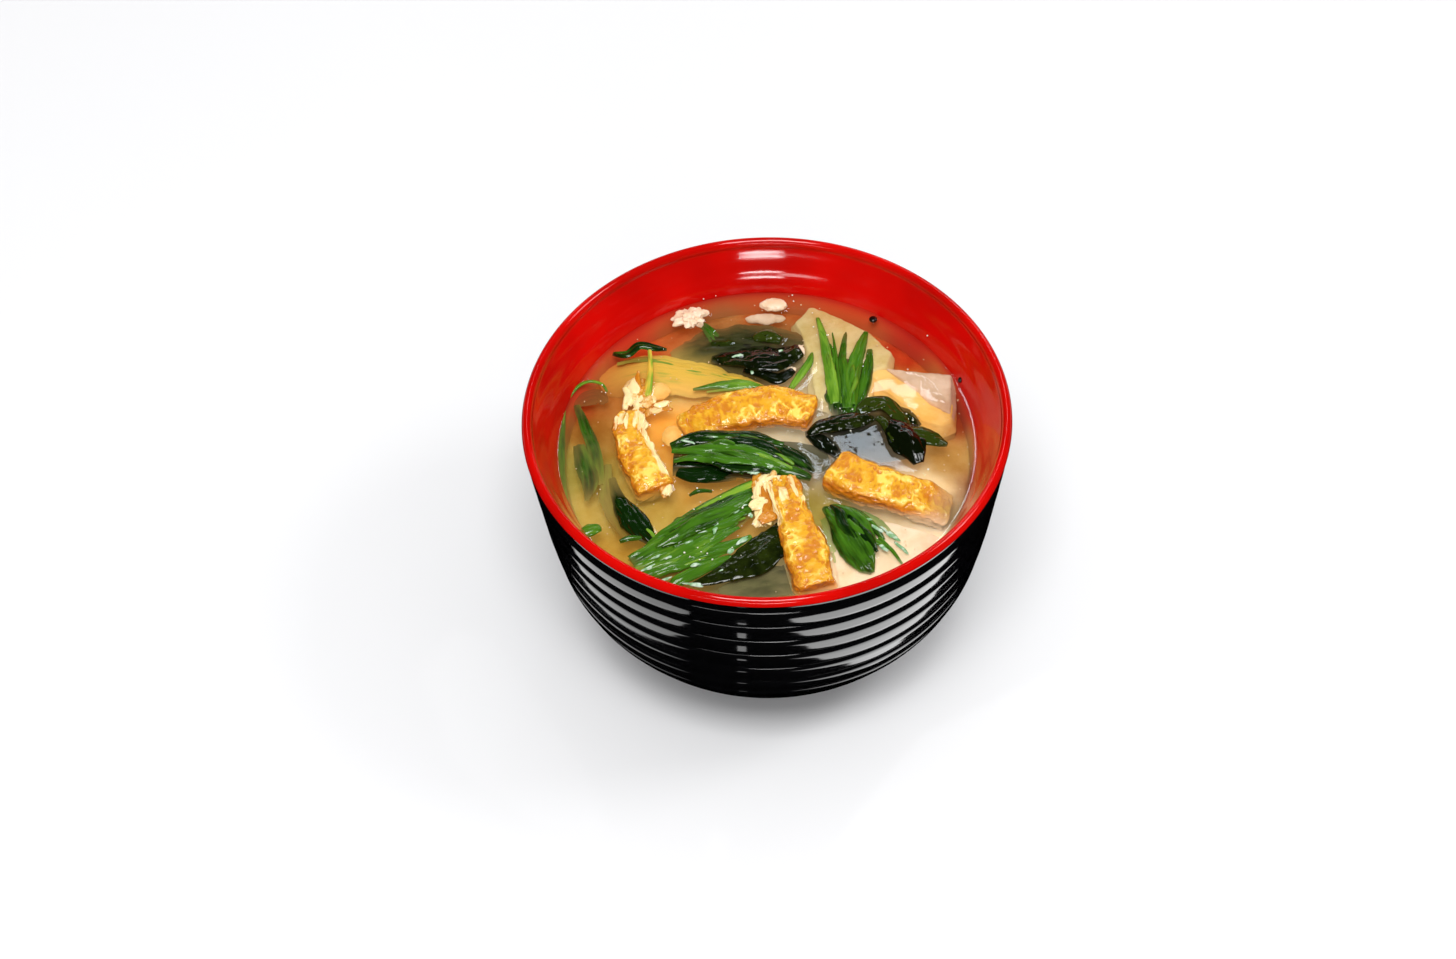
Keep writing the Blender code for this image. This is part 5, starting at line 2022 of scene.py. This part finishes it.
@dataclass(frozen=True)
class Card:
    """A bright card lying on the floor, seen only as it is mirrored in the lacquer.

    Attributes:
        name: its name.
        corners: (degrees from the front towards the right, millimetres from the axis).
        radiance: how bright it is.
        rise: how far behind the axis it starts to shine, and where it shines in full.
    """

    name: str
    corners: Sequence[tuple[float, float]]
    radiance: float
    rise: tuple[float, float] | None = None

    def build(self) -> bpy.types.Object:
        """Adds the card to the scene."""
        turn, radius = np.array(self.corners, float).T
        turn = np.radians(turn)
        points = np.stack([np.sin(turn) * radius, -np.cos(turn) * radius, 0.5 + 0 * turn], axis=-1) * MM
        mesh = bpy.data.meshes.new(self.name)
        mesh.from_pydata(points.tolist(), [], [range(len(points))])
        shader = Shader(self.name)
        strength = self.radiance
        if self.rise:
            behind = Value(shader, shader.node("SeparateXYZ", None, {0: shader.place}).outputs["Y"])
            strength = behind.step(self.rise[0] * MM, self.rise[1] * MM) * self.radiance
        glow = shader.node("Emission", None, {"Strength": strength}).outputs[0]
        mesh.materials.append(shader.finish(glow))
        shader.material.cycles.emission_sampling = "NONE"
        card = bpy.data.objects.new(self.name, mesh)
        bpy.context.scene.collection.objects.link(card)
        card.visible_camera = card.visible_diffuse = card.visible_shadow = False
        return card


CARDS = (
    Card("card_right", ((37, 60), (24, 66), (16, 72), (11, 79), (5, 88), (16, 95), (30, 99), (46, 100),
                        (60, 97),
                        (72, 90), (75, 85), (67, 78), (62, 72), (53, 66)), 3.4),
    Card("card_left", ((-30, 86), (-34, 79), (-40, 74), (-52, 70), (-66, 69), (-80, 74), (-84, 84), (-76, 94),
                       (-58, 96), (-40, 93)), 1.7),
    Card("card_behind", ((104, 260), (140, 110), (180, 95), (220, 110), (256, 260), (240, 480), (180, 500),
                         (120, 480)), 1.1, (50, 300)),
    Card("card_dot", ((-13, 76), (-10, 76), (-10, 84), (-13, 84)), 2.0),
)


@dataclass
class Studio:
    """Pale floor, soft panels and the camera."""

    world_glow: float = 0.75
    camera_place: tuple[float, float, float] = (-10.0, -459.5, 589.3)
    elevation: float = 49.79
    roll: float = -2.11
    lens: float = 70.0

    def floor(self) -> bpy.types.Object:
        """Makes the floor: a wide disc whose border curves up."""
        share = np.linspace(1.0, 0.0, 40)
        radii = 6.0 * share
        points = polar_sheet(radii, 96, 0.0)
        points[..., 2] = (2.4 * smooth(share, 0.75, 1.0) ** 2)[:, None] - 0.0002
        mesher = Mesher()
        mesher.grid(points, wrap=True)
        shader = Shader("floor")
        cloud = shader.noise(0.4, 2.0)
        paint = shader.blend(cloud, (0.76, 0.76, 0.77), (0.79, 0.79, 0.80))
        inputs = {"Base Color": paint, "Roughness": 0.9}
        floor = mesher.build("floor", shader.finish(shader.principled(inputs)))
        floor.parent = None
        del floor["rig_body"]
        floor.visible_glossy = False
        return floor

    def camera(self) -> bpy.types.Object:
        """Adds the camera and makes it the scene's."""
        data = bpy.data.cameras.new("camera")
        data.lens = self.lens
        data.sensor_width = 36.0
        rise, roll = math.radians(self.elevation), math.radians(self.roll)
        right = Vector((1.0, 0.0, 0.0))
        upward = Vector((0.0, math.sin(rise), math.cos(rise)))
        ahead = Vector((0.0, math.cos(rise), -math.sin(rise)))
        across = right * math.cos(roll) + upward * math.sin(roll)
        over = upward * math.cos(roll) - right * math.sin(roll)
        camera = bpy.data.objects.new("camera", data)
        turn = Matrix((across, over, -ahead)).transposed().to_4x4()
        camera.matrix_world = Matrix.Translation(Vector(self.camera_place) * MM) @ turn
        bpy.context.scene.collection.objects.link(camera)
        bpy.context.scene.camera = camera
        return camera

    def build(self) -> None:
        """Adds everything that the soup is seen by."""
        scene = bpy.context.scene
        scene.view_settings.view_transform = "Standard"
        world = bpy.data.worlds.new("room")
        world.use_nodes = True
        background = world.node_tree.nodes["Background"]
        background.inputs["Color"].default_value = (1.0, 1.0, 1.0, 1.0)
        background.inputs["Strength"].default_value = self.world_glow
        world.cycles_visibility.glossy = False
        scene.world = world
        for light in (*PANELS, *CARDS):
            light.build()
        self.floor()
        self.camera()


def add_garnish() -> Array:
    """Builds all that floats or is sunk in the soup, each piece with its own noise.

    Returns:
        The points where the pieces break the surface.
    """
    leaf, weed, fried = LeafSkin().material(), SeaweedSkin().material(), FriedSkin().material()
    flesh = {kind: kind.value.material() for kind in Flesh}
    pieces = [(piece, leaf) for piece in SPINACH] + [(piece, weed) for piece in SEAWEED]
    pieces += [(piece, fried) for piece in (*FRIED_STRIPS, *SHREDS)]
    pieces += [(piece, flesh[piece.flesh]) for piece in (*SLABS, *LUMPS)]
    shores = [piece.build(finish, 100 * number)[1] for number, (piece, finish) in enumerate(pieces, 1)]
    return np.concatenate(shores)


def add_specks() -> None:
    """Builds the painted glints on the leaves, the miso grains, the bubble flecks with their painted sparkle
    and the dark specks.
    """
    pool = PaintedWindowReflection().material()
    for index, glints in enumerate(PAINTED_GLINTS):
        glints.build(pool, 40 * index + 5)
    grain = bpy.data.materials["tofu"]
    # White flecks, painted white to stand for the sparkle on the bubbles.
    sparkle_paint = Speck("painted_sparkle_speck", linear(240, 240, 226), 0.25).material()
    seed_coat = Speck("dark_speck", linear(22, 10, 4), 0.2).material()
    Flecks("miso_grains", strewn(220, 7, -0.12), (0.10, 0.24), 0.5, 8).build(grain, "tofu")
    # Where the sparkling bubbles lie; the last four are painted glints on the wall just over the waterline.
    bubbles_and_glints = (
        strewn(40, 21, 0.25),
        strewn(26, 22, 0.5, (26, 2), 12.0),
        strewn(26, 23, 1.7, (-14, -28), 11.0),
        in_soup(((42, 31.7, 3.0), (-14.6, 49.2, 1.2), (-11.4, 50.0, 1.4), (8.4, 49.6, 1.0))),
    )
    Flecks("bubbles_with_painted_sparkle", np.concatenate(bubbles_and_glints), (0.12, 0.30), 0.7, 9).build(sparkle_paint, "broth")
    peppered = strewn(34, 31, 0.16, (24.0, 1.8), 6.5)
    Flecks("dark_grains", peppered, (0.18, 0.46), 0.3, 11).build(seed_coat, "wakame")
    seeds = in_soup(((28.8, 40.7, 0.2), (49.6, 18.1, 1.0)))
    Flecks("dark_specks", seeds, (1.05, 1.2), 0.6, 10, 9).build(seed_coat, "spinach")


def main() -> None:
    """Builds the soup and the studio."""
    logging.basicConfig(level=logging.INFO, format="%(message)s")
    bowl = Bowl()
    bowl.build()
    broth = Broth(bowl)
    broth.body()
    broth.surface(add_garnish())
    add_specks()
    Studio().build()


if __name__ == "__main__":
    main()
